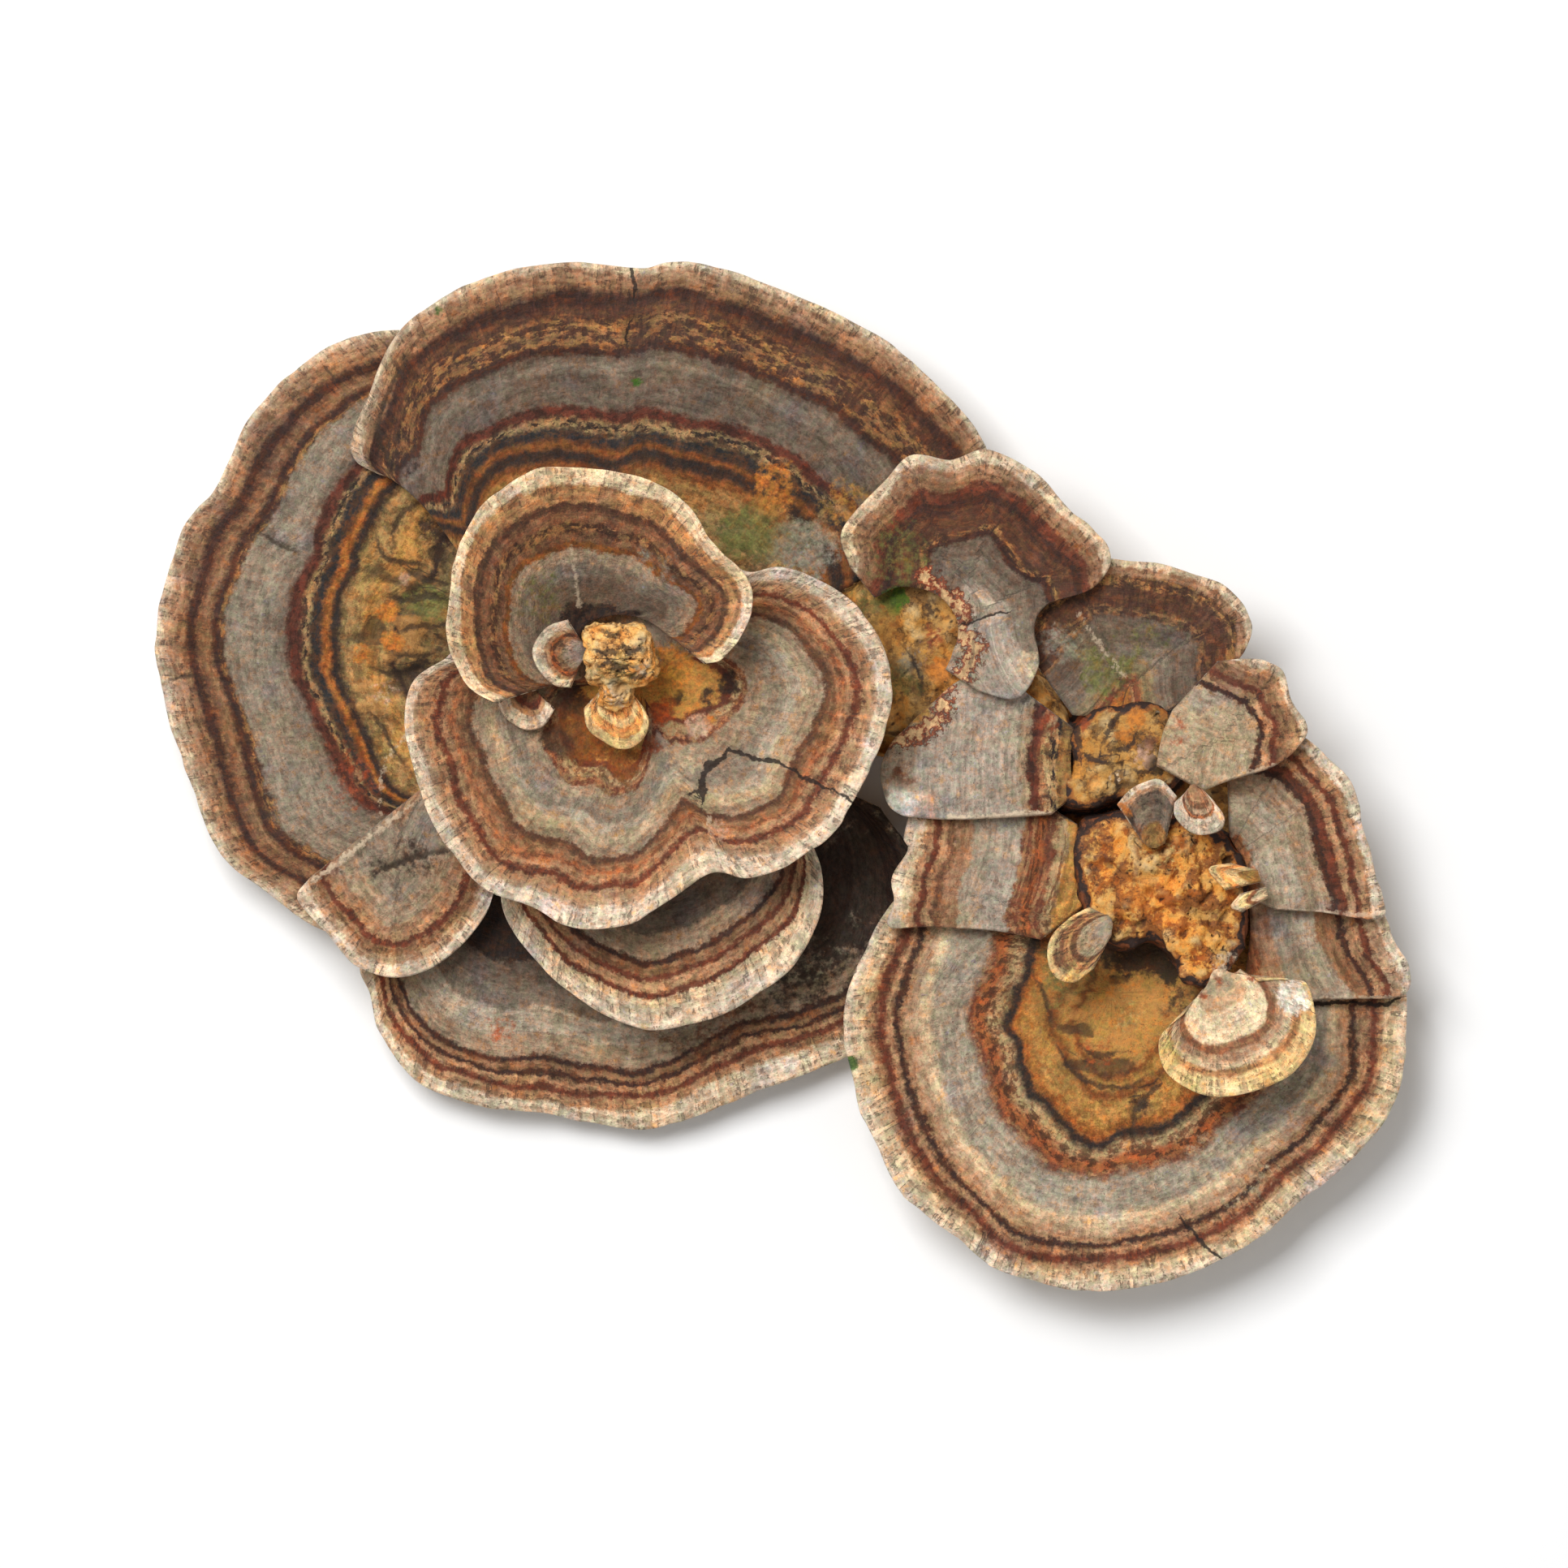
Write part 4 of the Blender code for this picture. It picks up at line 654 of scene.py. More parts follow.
         ("grey", 11.4, 12, 12.6, 12.4, 11.8, 11),
         ("grey_cool", 14, 14.6, 15.2, 15, 14, 13),
         ("grey_cool", 19),
         ("grey_light", 26)),
        (0.05, 0.2, 0.4, 0.6, 0.8, 0.95),
        guide=((5, 22), (8.2, 25.6), (7.3, 30), (11.8, 35.4), (15.4, 39.5), (20.6, 38.8), (25.2, 40),
               (31, 37.2), (35, 33), (38.6, 29.7), (40.3, 26.4), (41, 20)),
        stains_and_shade=((14, 27, 4.5, "olive", 0.4), (14, 21.8, 1.8, "moss", 0.9), (30, 13.6, 2.6, "beige", 0.5),
                (26, 18, 4, "lavender", 0.3)),
        cracks_and_shadow_lines=(((21.6, 18.2, 0.05), (24.6, 19.4, 0.1), (28, 20.2, 0.06)),),
        seams=(((17.6, 24.2), (19.4, 23), (21.2, 21), (21.9, 19), (21.6, 17.6), (23.6, 16), (22.8, 13.6),
                (21.2, 11.4)),)),
    "stalked_cap": Skin(
        (("gold_rim", 0),
         ("gold_rim", 1, 1.2, 1.3, 1.2, 0.8),
         ("gold_tan", 1.8, 2.2, 2.5, 2.6, 2),
         ("cream_beige", 2.8, 3, 3.4, 3.8, 3),
         ("pink_rim", 3.6, 3.8, 4.2, 4.8, 4.2),
         ("chestnut", 4.4, 4.8, 5.4, 5.8, 6),
         ("ivory_rim", 5.6, 6, 6.8, 7, 7.6),
         ("warm_beige", 9, 9.6, 10.6, 10.6, 10),
         ("beige", 11.6, 12, 12.8, 13, 12.4),
         ("ivory_rim", 14, 14, 15, 15, 15)),
        (0.12, 0.25, 0.45, 0.62, 0.8),
        stains_and_shade=((47, -34, 2.2, "yellow", 0.5), (50, -38.6, 2, "yellow", 0.5),
                (63, -27, 2.4, "white", 0.7), (53.6, -25.4, 1, "rust", 0.7),
                (57.4, -25, 0.8, "rust", 0.6), (51.8, -27, 0.8, "rust", 0.6))),
    "small_fan": Skin(
        (("gold_rim", 0), ("cream_speck", 0.7), ("chestnut", 1.4), ("gold_tan", 2.1), ("brown", 3),
         ("beige", 3.9), ("grey_light", 6), ("beige", 8)),
        stains_and_shade=((35.6, -24.6, 1.8, "yellow", 0.5),)),
    "small_sheet": Skin(
        (("white_rim", 0), ("pink_rim", 0.7), ("grey_dark", 1.2), ("grey", 3), ("ochre", 5)),
        stains_and_shade=((41.4, -4.6, 1.3, "orange", 0.9), (42.6, -5.6, 0.8, "umber", 0.9),
                (43.2, -7.4, 1.4, "brown", 0.7))),
    "white_cap": Skin(
        (("white_rim", 0), ("white_rim", 1.5), ("rust_tan", 2), ("pink_rim", 2.5), ("chestnut", 3.2),
         ("tan", 4), ("rosy_tan", 5.2))),
    "lobe_upper": Skin(
        (("gold_rim", 0), ("gold_light", 0.9), ("gold_rim", 1.8), ("gold", 3.4))),
    "lobe_lower": Skin(
        (("ivory_rim", 0), ("gold_rim", 0.9), ("rust_tan", 1.8), ("cream_beige", 2.6))),
}

# Outlines of the mounds, as (x, y, z of the shoulder), and their rows from the foot up and in to
# the middle: (share of the outline's reach, level), where level 1 is the shoulder and 2 the top
SLAB_OUTLINE = (
    (-33, 4, 4.8), (-27, 12, 4.8), (-16, 16, 4.8), (-3, 16, 4.8), (10, 22, 4.8), (22, 21, 4.8),
    (36, 13, 4.8), (50, 7, 4.8), (57, -6, 4.8), (55, -18, 4.8), (46, -25, 4.8), (36, -19, 4.8),
    (30, -6, 4.8), (18, 1, 4.8), (4, 3, 4.8), (-8, -4, 4.8), (-20, -8, 4.8), (-30, -4, 4.8),
)
PATCH_OUTLINE = (
    (-1, 10, 12.4), (2, 17.6, 12.5), (7, 22.6, 12.6), (14, 26.4, 12.8), (20.8, 24.4, 12.8),
    (25, 17, 12.6), (33, 10.6, 12.3), (34.6, 3, 12.3), (24, 2.6, 12.4), (13.5, 5, 12.6), (4, 4, 12.4),
)
CROWN_OUTLINE = (
    (34.6, -4, 15.7), (34.2, -1.2, 15.8), (35.4, 1.4, 15.7), (34.8, 4.2, 15.8), (36.2, 6.6, 15.9),
    (38.4, 8.6, 15.7), (41.4, 8.8, 15.9), (44.4, 9.4, 15.9), (47.2, 8.9, 15.8), (49.2, 6.6, 15.7),
    (50.5, 3, 15.4), (48.6, -0.8, 15.6), (45, -3.4, 15.5), (41, -3.4, 15.6), (38, -4.4, 15.6),
)
TISSUE_OUTLINE = (
    (36.8, -5.6, 15.2), (36, -10.5, 15), (36.8, -16, 15.8), (39.4, -20.4, 16.2), (42.6, -21.4, 15.8),
    (45.4, -20.6, 15.8), (47.6, -22.6, 17), (49.8, -25.6, 18.2), (53, -25.6, 18.3), (56, -22, 16.2),
    (57.2, -17, 14.6), (57.2, -12, 14.4), (55, -8.2, 15.2), (51, -5.8, 16.4), (46, -4.6, 17),
    (41, -4.8, 16.2),
)
KNOB_OUTLINE = (
    (-24.2, 15, 28.8), (-24.4, 17.4, 29), (-22.2, 18.6, 29.4), (-19.6, 18.3, 29.2), (-17.2, 18.2, 29.4),
    (-16.2, 16, 29), (-15.7, 12.6, 28.2), (-17.4, 11.2, 27.2), (-20.4, 11.2, 27), (-23.4, 11.2, 27.4),
    (-23.8, 13, 28.2),
)
NECK_OUTLINE = (
    (-23, 12.2, 27), (-20.4, 13.4, 27.4), (-18.2, 12.2, 27), (-18.6, 10.2, 26), (-18.8, 8.8, 25.3),
    (-20.6, 8.3, 25.1), (-22.6, 8.9, 25.3), (-22.5, 10.4, 26),
)
MOUND_ROWS = ((1.0, 0.0), (1.0, 0.9), (0.93, 1.0), (0.7, 1.5), (0.4, 1.9), (0.0, 2.0))
CROWN_ROWS = ((0.97, 0.0), (1.0, 0.7), (0.96, 0.92), (0.8, 1.15), (0.45, 1.75), (0.0, 2.0))
KNOB_ROWS = ((0.86, 0.0), (0.94, 0.5), (1.06, 0.9), (0.86, 1.4), (0.45, 1.8), (0.0, 2.0))


def smooth_curve(points, closed):
    """A dense Catmull-Rom curve through the points."""
    points = np.array(points, float)
    if len(points) == 1:
        return points
    if closed:
        path = np.vstack([points[-1], points, points[:2]])
    else:
        path = np.vstack([2 * points[0] - points[1], points, 2 * points[-1] - points[-2]])
    dense = []
    for before, start, end, after in zip(path, path[1:], path[2:], path[3:]):
        for step in range(SMOOTH_STEPS):
            t = step / SMOOTH_STEPS
            bend = (end - before) * t + (2 * before - 5 * start + 4 * end - after) * t**2
            bend += (3 * start - before - 3 * end + after) * t**3
            dense.append(start + bend / 2)
    dense.append(path[-2])
    return np.array(dense)


def run_of(curve):
    """The plan length from the curve's start to each of its points."""
    steps = np.linalg.norm(np.diff(curve[:, :2], axis=0), axis=1)
    return np.concatenate([[0.0], np.cumsum(steps)])


def along(curve, shares):
    """The points at these shares of the curve's plan length."""
    if len(curve) == 1:
        return np.repeat(curve, len(shares), axis=0)
    run = run_of(curve)
    return np.stack([np.interp(shares * run[-1], run, axis) for axis in curve.T], axis=1)


def from_line(plan, points):
    """(distance of each plan point from a line through these points, share of its length there, side)."""
    line = smooth_curve([point[:2] for point in points], False)
    run = run_of(line)
    best = np.full(len(plan), np.inf)
    share = np.zeros(len(plan))
    side = np.ones(len(plan))
    for start, end, before in zip(line, line[1:], run):
        step = end - start
        length = max(float(np.linalg.norm(step)), 1e-9)
        t = np.clip(((plan - start) @ step) / length**2, 0, 1)
        gap = np.linalg.norm(plan - start - t[:, None] * step, axis=1)
        nearer = gap < best
        best[nearer] = gap[nearer]
        share[nearer] = (before + t[nearer] * length) / run[-1]
        across = step[0] * (plan[nearer, 1] - start[1]) - step[1] * (plan[nearer, 0] - start[0])
        side[nearer] = np.where(across < 0, -1.0, 1.0)
    return best, share, side


def eased(t):
    """Rises smoothly from 0 to 1 as t does, and stays there."""
    t = np.clip(t, 0, 1)
    return t * t * (3 - 2 * t)


def noise2(seed, x, y, period=LATTICE):
    """Smooth noise between -1 and 1. It repeats after this many cells in x."""
    values = np.random.default_rng(seed).uniform(-1, 1, (LATTICE, LATTICE))
    x, y = np.broadcast_arrays(x, y)
    column = np.floor(x).astype(int)
    row = np.floor(y).astype(int)
    across = eased(x - column)
    up = eased(y - row)

    def at(i, j):
        return values[(column + i) % period, (row + j) % LATTICE]

    low = at(0, 0) * (1 - across) + at(1, 0) * across
    high = at(0, 1) * (1 - across) + at(1, 1) * across
    return low * (1 - up) + high * up


def linear(colour):
    """An 8-bit sRGB colour as the linear values that a shader takes."""
    value = np.array(colour, float) / 255
    low = value / 12.92
    high = ((value + 0.055) / 1.055) ** 2.4
    return [float(part) for part in np.where(value <= 0.04045, low, high)] + [1.0]


def deselect_all():
    """Leaves any edit mode, with nothing selected."""
    if bpy.context.mode != "OBJECT":
        bpy.ops.object.mode_set(mode="OBJECT")
    bpy.ops.object.select_all(action="DESELECT")


def make_active(piece):
    """Selects this piece alone."""
    deselect_all()
    piece.select_set(True)
    bpy.context.view_layer.objects.active = piece


def closed_up(piece):
    """Merges the piece's doubles, closes what is open and turns its faces outwards."""
    make_active(piece)
    bpy.ops.object.mode_set(mode="EDIT")
    bpy.ops.mesh.select_all(action="SELECT")
    bpy.ops.mesh.remove_doubles(threshold=WELD)
    bpy.ops.mesh.fill_holes(sides=0)
    bpy.ops.mesh.select_all(action="SELECT")
    bpy.ops.mesh.normals_make_consistent(inside=False)
    bpy.ops.object.mode_set(mode="OBJECT")
    bpy.ops.object.shade_smooth()


def grid_piece(name, columns, rows, places):
    """A grid primitive with its point at (column, row) put at places[column, row], in millimetres."""
    deselect_all()
    bpy.ops.mesh.primitive_grid_add(x_subdivisions=columns, y_subdivisions=rows, size=2, location=(0, 0, 0))
    piece = bpy.context.active_object
    piece.name = name
    piece.data.name = name
    flat = np.empty(len(piece.data.vertices) * 3)
    piece.data.vertices.foreach_get("co", flat)
    flat = flat.reshape(-1, 3)
    column = np.round((flat[:, 0] + 1) / 2 * columns).astype(int)
    row = np.round((flat[:, 1] + 1) / 2 * rows).astype(int)
    piece.data.vertices.foreach_set("co", (places[column, row] * MM).ravel())
    while piece.data.uv_layers:
        piece.data.uv_layers.remove(piece.data.uv_layers[0])
    return piece, column, row


def paint(piece, **layers):
    """Stores layers of numbers, vectors or colours, with one value for each point of the mesh."""
    kinds = {1: ("FLOAT", "value"), 3: ("FLOAT_VECTOR", "vector"), 4: ("FLOAT_COLOR", "color")}
    for name, values in layers.items():
        kind, field = kinds[values.reshape(len(piece.data.vertices), -1).shape[1]]
        layer = piece.data.attributes.new(name, kind, "POINT")
        layer.data.foreach_set(field, np.ascontiguousarray(values, np.float32).ravel())


def settle(piece, node, material):
    """Gives the piece its material and its place in the frame."""
    piece.data.materials.clear()
    piece.data.materials.append(material)
    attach(piece, "root")
    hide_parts(node)


# Caps


def cells_along(length, size, fewest=3):
    """How many noise cells of this size lie along a margin."""
    return min(max(fewest, int(round(length / size))), LATTICE - 1)


def rounded(t):
    """The height of a quarter circle at this share of its width."""
    return np.sqrt(np.clip(1 - (1 - np.clip(t, 0, 1)) ** 2, 0, 1))


def two_noises(seed, plan, coarse, fine):
    """Noise in plan with cells of the coarse size, and half as much with cells of the fine one."""
    x, y = (plan / coarse + NOISE_SHIFT).T
    fine_x, fine_y = (plan / fine + NOISE_SHIFT).T
    return noise2(seed, x, y) + 0.5 * noise2(seed + 1, fine_x, fine_y)


def cap_rows(cap, skin, reach, spacing):
    """Shares from root to rim of the rows of one side, and how many of them lie in the rounded rim."""
    edge = SMALL_EDGE if cap.small else EDGE
    shown = max(6, int(math.ceil(reach * (1 - skin.hidden) / spacing)))
    inner = list(np.linspace(0, skin.hidden, HIDDEN_ROWS)[:-1]) if skin.hidden > 0 else []
    return np.array(inner + list(np.linspace(skin.hidden, 1, shown))), np.array(RIM_STEPS) * edge


def cap_places(cap, skin, look):
    """Where each point of a cap lies, with what its painting needs: distances and shares."""
    margin = smooth_curve(cap.margin, cap.disc)
    root_curve = smooth_curve(cap.root, False)
    length = float(run_of(margin)[-1])
    columns = int(math.ceil(length / look.column_step))
    shares = np.linspace(0, 1, columns + 1)
    rim = along(margin, shares)
    root = along(root_curve, shares)
    way = rim[:, :2] - root
    reach = np.linalg.norm(way, axis=1)
    out = way / reach[:, None]
    seed = sum(ord(letter) for letter in cap.name)

    # The rim wanders a little in plan
    cells = cells_along(length, RIM_WAVE, 4)
    fine = max(8, int(round(length / RIM_NOTCH)))
    ragged = look.rim_ragged * noise2(seed, shares * cells, 0.5, cells if cap.disc else LATTICE)
    ragged = ragged + 0.4 * look.rim_ragged * noise2(seed + 1, shares * fine % LATTICE, 0.5)
    ends = np.clip(np.minimum(shares, 1 - shares) * length / 3, 0, 1) if not cap.disc else 1.0
    if cap.small:
        ragged = ragged * 0.5

    inner, rim_gaps = cap_rows(cap, skin, float(reach.mean()), look.row_step)
    root_reach = 0.0 if cap.disc else ROOT_OVERLAP
    start = -root_reach / reach
    edge = rim_gaps[0]
    stop = 1 - edge / reach
    upper = start[:, None] + (stop - start)[:, None] * inner[None, :]
    rim_rows = 1 - rim_gaps[None, 1:] / reach[:, None]
    rows = np.concatenate([upper, rim_rows], axis=1)
    count = rows.shape[1]

    plan = root[:, None, :] + way[:, None, :] * rows[:, :, None]
    plan = plan + (out * (ragged * ends)[:, None])[:, None, :] * (np.clip(rows, 0, 1) ** 4)[:, :, None]
    if cap.start_bow:
        spread = np.clip(1 - shares / BOW_SPREAD, 0, None) ** 2
        bow = cap.start_bow * BOW_PEAK * spread[:, None] * rows**2 * (1 - rows)
        sideways = np.stack([out[:, 1], -out[:, 0]], axis=1)
        plan = plan + sideways[:, None, :] * bow[:, :, None]

    held = np.clip(rows, 0, 1)
    gap = (1 - rows) * reach[:, None]
    height = cap.root_z + (rim[:, 2] - cap.root_z)[:, None] * held**cap.power
    height = height + cap.arch * 4 * held * (1 - held)
    thick = SMALL_RIM_THICK if cap.small else RIM_THICK
    root_thick = SMALL_ROOT_THICK if cap.small else ROOT_THICK
    flesh = root_thick + (thick - root_thick) * held**THINNING
    return dict(
        shares=shares, rows=rows, gap=gap, plan=plan, height=height, flesh=flesh, edge=edge,
        length=length, seed=seed, columns=columns, count=count,
        root_length=float(run_of(root_curve)[-1]),
    )


def zone_distance(cap, skin, made):
    """How far each point is from the growing edge, on the scale of the skin's reference share.

    It comes with the place along the guide and the plain distance from it, where there is a guide.
    """
    plan = made["plan"].reshape(-1, 2)
    gap = made["gap"].ravel().copy()
    share = np.repeat(made["shares"], made["count"])
    guided = None
    if skin.guide:
        gap, share, _ = from_line(plan, skin.guide)
        if not cap.disc:
            reach = float(run_of(smooth_curve(skin.guide, False))[-1])
            guided = (share * reach).reshape(made["gap"].shape), gap.reshape(made["gap"].shape)
    table = np.array([row[1:] for row in skin.bands], float)
    scale = table[:, len(skin.shares) // 2]
    if table.shape[1] > 1:
        read = np.stack([np.interp(share, skin.shares, row) for row in table], axis=1)
        result = np.full(len(gap), scale[-1])
        for i in range(len(table) - 1):
            width = np.maximum(read[:, i + 1] - read[:, i], 1e-6)
            inside = (gap >= read[:, i]) & (gap < read[:, i + 1])
            value = scale[i] + (gap - read[:, i]) / width * (scale[i + 1] - scale[i])
            result[inside] = value[inside]
        result[gap <= 0] = 0.0
        gap = result
    gap = gap.reshape(made["gap"].shape)
    if skin.guide:
        gap = rounded_corners(gap, made["length"] / made["columns"])
    return gap + wandering(cap, made, gap), guided


def rounded_corners(gap, spacing):
    """The distances, averaged along the margin more and more widely away from the growing edge."""
    result = gap.copy()
    for width, start in ((1.5, 1.5), (3.0, 4.0)):
        half = max(1, int(width / spacing))
        kernel = np.hanning(2 * half + 3)
        kernel /= kernel.sum()
        edge = len(kernel) // 2
        padded = np.concatenate([result[:1].repeat(edge, 0), result, result[-1:].repeat(edge, 0)])
        blurred = sum(kernel[k] * padded[k : k + len(result)] for k in range(len(kernel)))
        result = result + (blurred - result) * eased(result / start - 0.5)
    return result


def wandering(cap, made, gap):
    """How far the bands stray from even distances, growing with the distance from the rim."""
    around = made["shares"][:, None]
    strays = np.zeros(gap.shape)
    for offset, size, height in ((20, 11.0, 0.55), (21, 4.5, 0.3), (22, 1.9, 0.15)):
        cells = cells_along(made["length"], size)
        strays += height * noise2(made["seed"] + offset, around * cells, gap / (size * 0.8) + 7,
                                  cells if cap.disc else LATTICE)
    return strays * (0.5 if cap.small else 1.0) * eased(gap / 2.5)


def cap_relief(cap, skin, made, zone, look):
    """How far the upper side stands off its plain form: rings, folds, lumps, cracks and lips."""
    gap, seed = made["gap"], made["seed"]
    scale = 0.5 if cap.small else 1.0

    def waves(offset, size, inwards):
        cells = cells_along(made["length"], size)
        around = made["shares"][:, None] * cells
        return noise2(seed + offset, around, inwards, cells if cap.disc else LATTICE)

    rings = waves(2, RING_WAVE, zone / 1.25) + 0.5 * waves(3, RING_WAVE, zone / 0.62)
    bent = waves(4, FOLD_WAVE, gap / 26) * look.fold_relief * scale * np.clip(made["rows"], 0, 1) ** 1.5
    lumps = waves(5, LUMP_WAVE, gap / 2.6)
    lift = rings * look.ring_relief * scale + lumps * look.lump_relief * scale
    lift = lift + waves(6, PLEAT_WAVE, gap / 9) * look.pleat_relief * scale * np.exp(-gap / 7)
    lift = lift * eased(gap / 1.6)
    plan = made["plan"].reshape(-1, 2)
    hollow = np.zeros(gap.shape)
    for x, y, radius, height in skin.ripples:
        away = np.hypot(plan[:, 0] - x, plan[:, 1] - y) / radius
        wave = two_noises(seed + 9, plan, (4.6, 2.1), (1.8, 1.2))
        wave = (wave * eased(1.5 - away)).reshape(gap.shape)
        lift = lift + height * wave
        # The ripples' depth is kept, to paint shade into their hollows and a highlight onto their crests
        hollow = np.where(np.abs(wave) > np.abs(hollow), -wave, hollow)
    for line in skin.cracks_and_shadow_lines + skin.folds:
        near = from_line(plan, line)[0].reshape(gap.shape)
        lift = lift - GROOVE_DEPTH * np.exp(-((near / GROOVE_WIDTH) ** 2))
    for line in skin.lips:
        near = from_line(plan, line)[0].reshape(gap.shape)
        height = line[0][2] if len(line[0]) > 2 else LIP_HEIGHT
        lift = lift + height * np.exp(-((near / LIP_WIDTH) ** 2))
    return bent, lift, hollow


def stain_and_shade_values(stains_and_shade, plan, seed):
    """Colour and strength of the painted spots on the skin.

    They are its own discolouring, and painted shade in gaps and under the rims of caps above.
    """
    colour = np.tile(linear(PAINTS[stains_and_shade[0][3] if stains_and_shade else "brown"])[:3], (len(plan), 1))
    strength = np.zeros(len(plan))
    wander = two_noises(seed + 7, plan, (2.2, 2.2), (0.8, 0.8))
    for x, y, radius, paint_name, amount in stains_and_shade:
        away = np.hypot(plan[:, 0] - x, plan[:, 1] - y) / radius + 0.28 * wander
        weight = amount * eased(1.35 - away)
        both = strength * (1 - weight) + weight
        share = np.where(both > 1e-6, weight / np.maximum(both, 1e-6), 0)[:, None]
        colour = colour * (1 - share) + np.array(linear(PAINTS[paint_name])[:3]) * share
        strength = both
    return np.concatenate([colour, strength[:, None]], axis=1)


def line_distance(lines, plan):
    """Distance from the nearest of these lines, at most LINE_REACH."""
    away = np.full(len(plan), LINE_REACH)
    for line in lines:
        away = np.minimum(away, from_line(plan, line)[0])
    return away


def crack_values(cracks_and_shadow_lines, plan):
    """(signed distance from the nearest crack, half its width there, which fades away from it)."""
    best = np.full(len(plan), LINE_REACH)
    signed = np.full(len(plan), LINE_REACH)
    width = np.zeros(len(plan))
    for crack in cracks_and_shadow_lines:
        line = smooth_curve(crack, False)
        run = run_of(line)
        away, share, side = from_line(plan, crack)
        wide = np.interp(share, run / run[-1], line[:, 2]) if line.shape[1] > 2 else HAIR_CRACK
        nearer = away < best
        best = np.where(nearer, away, best)
        signed = np.where(nearer, side * away, signed)
        width = np.where(nearer, wide * eased((1.5 - away) / 0.6), width)
    return signed, width


def build_cap(cap, look):
    """One cap: a grid from its root over the upper side to the rim, and back underneath."""
    skin = SKINS[cap.name]
    made = cap_places(cap, skin, look)
    zone, guided = zone_distance(cap, skin, made)
    bent, lift, hollow = cap_relief(cap, skin, made, zone, look)
    gap, shares, count = made["gap"], made["shares"], made["count"]
    half = made["flesh"] / 2
    rounding = rounded(gap / made["edge"])
    if not cap.disc:
        aside = np.minimum(shares, 1 - shares)[:, None] * made["length"]
        aside = aside * (0.3 + 0.7 * np.clip(made["rows"], 0, 1))
        rounding = rounding * rounded(aside / made["edge"])
    mid = made["height"] + bent - half
    top = np.dstack([made["plan"], mid + (half + lift) * rounding])
    low = np.dstack([made["plan"], mid - half * rounding])
    places = np.concatenate([top, low[:, ::-1][:, 1:]], axis=1)
    if cap.disc:
        places[-1] = places[0]
        places[:, 0] = places[:, 0].mean(axis=0)
        places[:, -1] = places[:, -1].mean(axis=0)
    else:
        places = np.concatenate([places, top[:, :1]], axis=1)
    piece, column, row = grid_piece(cap.name + "_detailed", made["columns"], places.shape[1] - 1, places)

    def spread(values):
        return np.concatenate([values, values[:, ::-1][:, 1:], values[:, :1]], axis=1)[column, row]

    plan = spread(made["plan"])
    under = np.concatenate([np.zeros(count - 1), [0.5], np.ones(places.shape[1] - count)])
    if not cap.disc:
        under[-1] = 0.0
    if guided:
        grain = np.stack([spread(guided[0]), np.zeros(len(row)), spread(guided[1])], axis=1)
        openness = np.ones(len(row))
    else:
        held = np.clip(spread(made["rows"]), 0, 1)
        openness = held + (1 - held) * made["root_length"] / made["length"]
        turn = 2 * math.pi * shares[column]
        radius = made["length"] / (2 * math.pi)
        grain = np.stack([radius * np.cos(turn), radius * np.sin(turn), spread(gap)], axis=1)
    paint(piece, zone=spread(zone) / zone_depth(skin), under=under[row], grain=grain, spread=openness,
          stain=stain_and_shade_values(skin.stains_and_shade, plan, made["seed"]), hollow=spread(hollow),
          lip=line_distance(skin.lips, plan), seam=line_distance(skin.seams, plan))
    for kind, lines in (("crack", skin.cracks_and_shadow_lines), ("fold", skin.folds)):
        away, width = crack_values(lines, plan)
        paint(piece, **{kind: away, kind + "_width": width})
    closed_up(piece)
    settle(piece, cap.name, cap_material(cap, skin))
    return piece


def zone_depth(skin):
    """Where the last band ends, on the scale of the skin's reference share."""
    return float(skin.bands[-1][1 + len(skin.shares) // 2]) + DEPTH_SPARE


# Marks on the base, the centre tissue and the knob: stains (x, y, radius, colour, strength), folds
# (x, y, half the width) and hollows (x, y, radius). The folds are inked dark and the hollows sunk
# and darkened, as painted shade, and one of the base's spots is painted shade too
BASE_STAINS_AND_SHADE = (
    (14, 21.8, 1.9, "moss", 0.95), (10.6, 21, 3, "olive", 0.4), (12, 17.4, 2.6, "ochre", 0.5),
    (19.4, 13, 2, "orange", 0.7), (15, 11, 3, "olive", 0.45), (18.2, 20.4, 1.8, "umber", 0.5),
    (18.6, 17, 1.6, "rust", 0.45), (16, 14.6, 2, "grey", 0.3), (41.8, 4.8, 1.3, "orange", 0.7),
    (43.4, 6.8, 1.5, "orange", 0.7), (36.2, 0.6, 1.6, "amber", 0.6), (44.4, 2.2, 1.6, "pink", 0.5),
    (45.4, 4, 1.2, "brown", 0.5), (41, -0.2, 1.3, "cream", 0.35), (39.4, -2.8, 1.6, "umber", 0.5),
    # The near-black spot at (45.9, 1.4) is painted shade in the gap under the free left edge of cap_side
    (45.9, 1.4, 1.3, "night", 0.85), (37, 6.4, 1.6, "rust", 0.55), (38.6, 3.4, 1.5, "ochre", 0.5),
)
BASE_FOLDS = (
    ((39.4, 4, 0.1), (40.4, 6.2, 0.35), (42, 8, 0.15)),
    ((44.6, 10.2, 0.2), (47, 9.2, 0.4), (47.9, 6.6, 0.3), (47.4, 4, 0.1)),
    ((40.2, 3, 0.1), (42.6, 3.4, 0.3), (43.4, 5.2, 0.1)),
    ((36.4, 3, 0.1), (38.6, 1.6, 0.3), (40.8, 1.4, 0.1)),
    ((40.4, 1, 0.1), (41.2, -1.4, 0.3), (40.4, -2.8, 0.15)),
    ((35, 7.4, 0.1), (36.4, 4.6, 0.35), (35.6, 1.6, 0.1)),
    ((43, 0.8, 0.1), (44.6, 0.2, 0.3), (45.8, 1, 0.1)),
    ((14.4, 16.6, 0.1), (16.6, 12.8, 0.2), (17.2, 10, 0.1)),
)
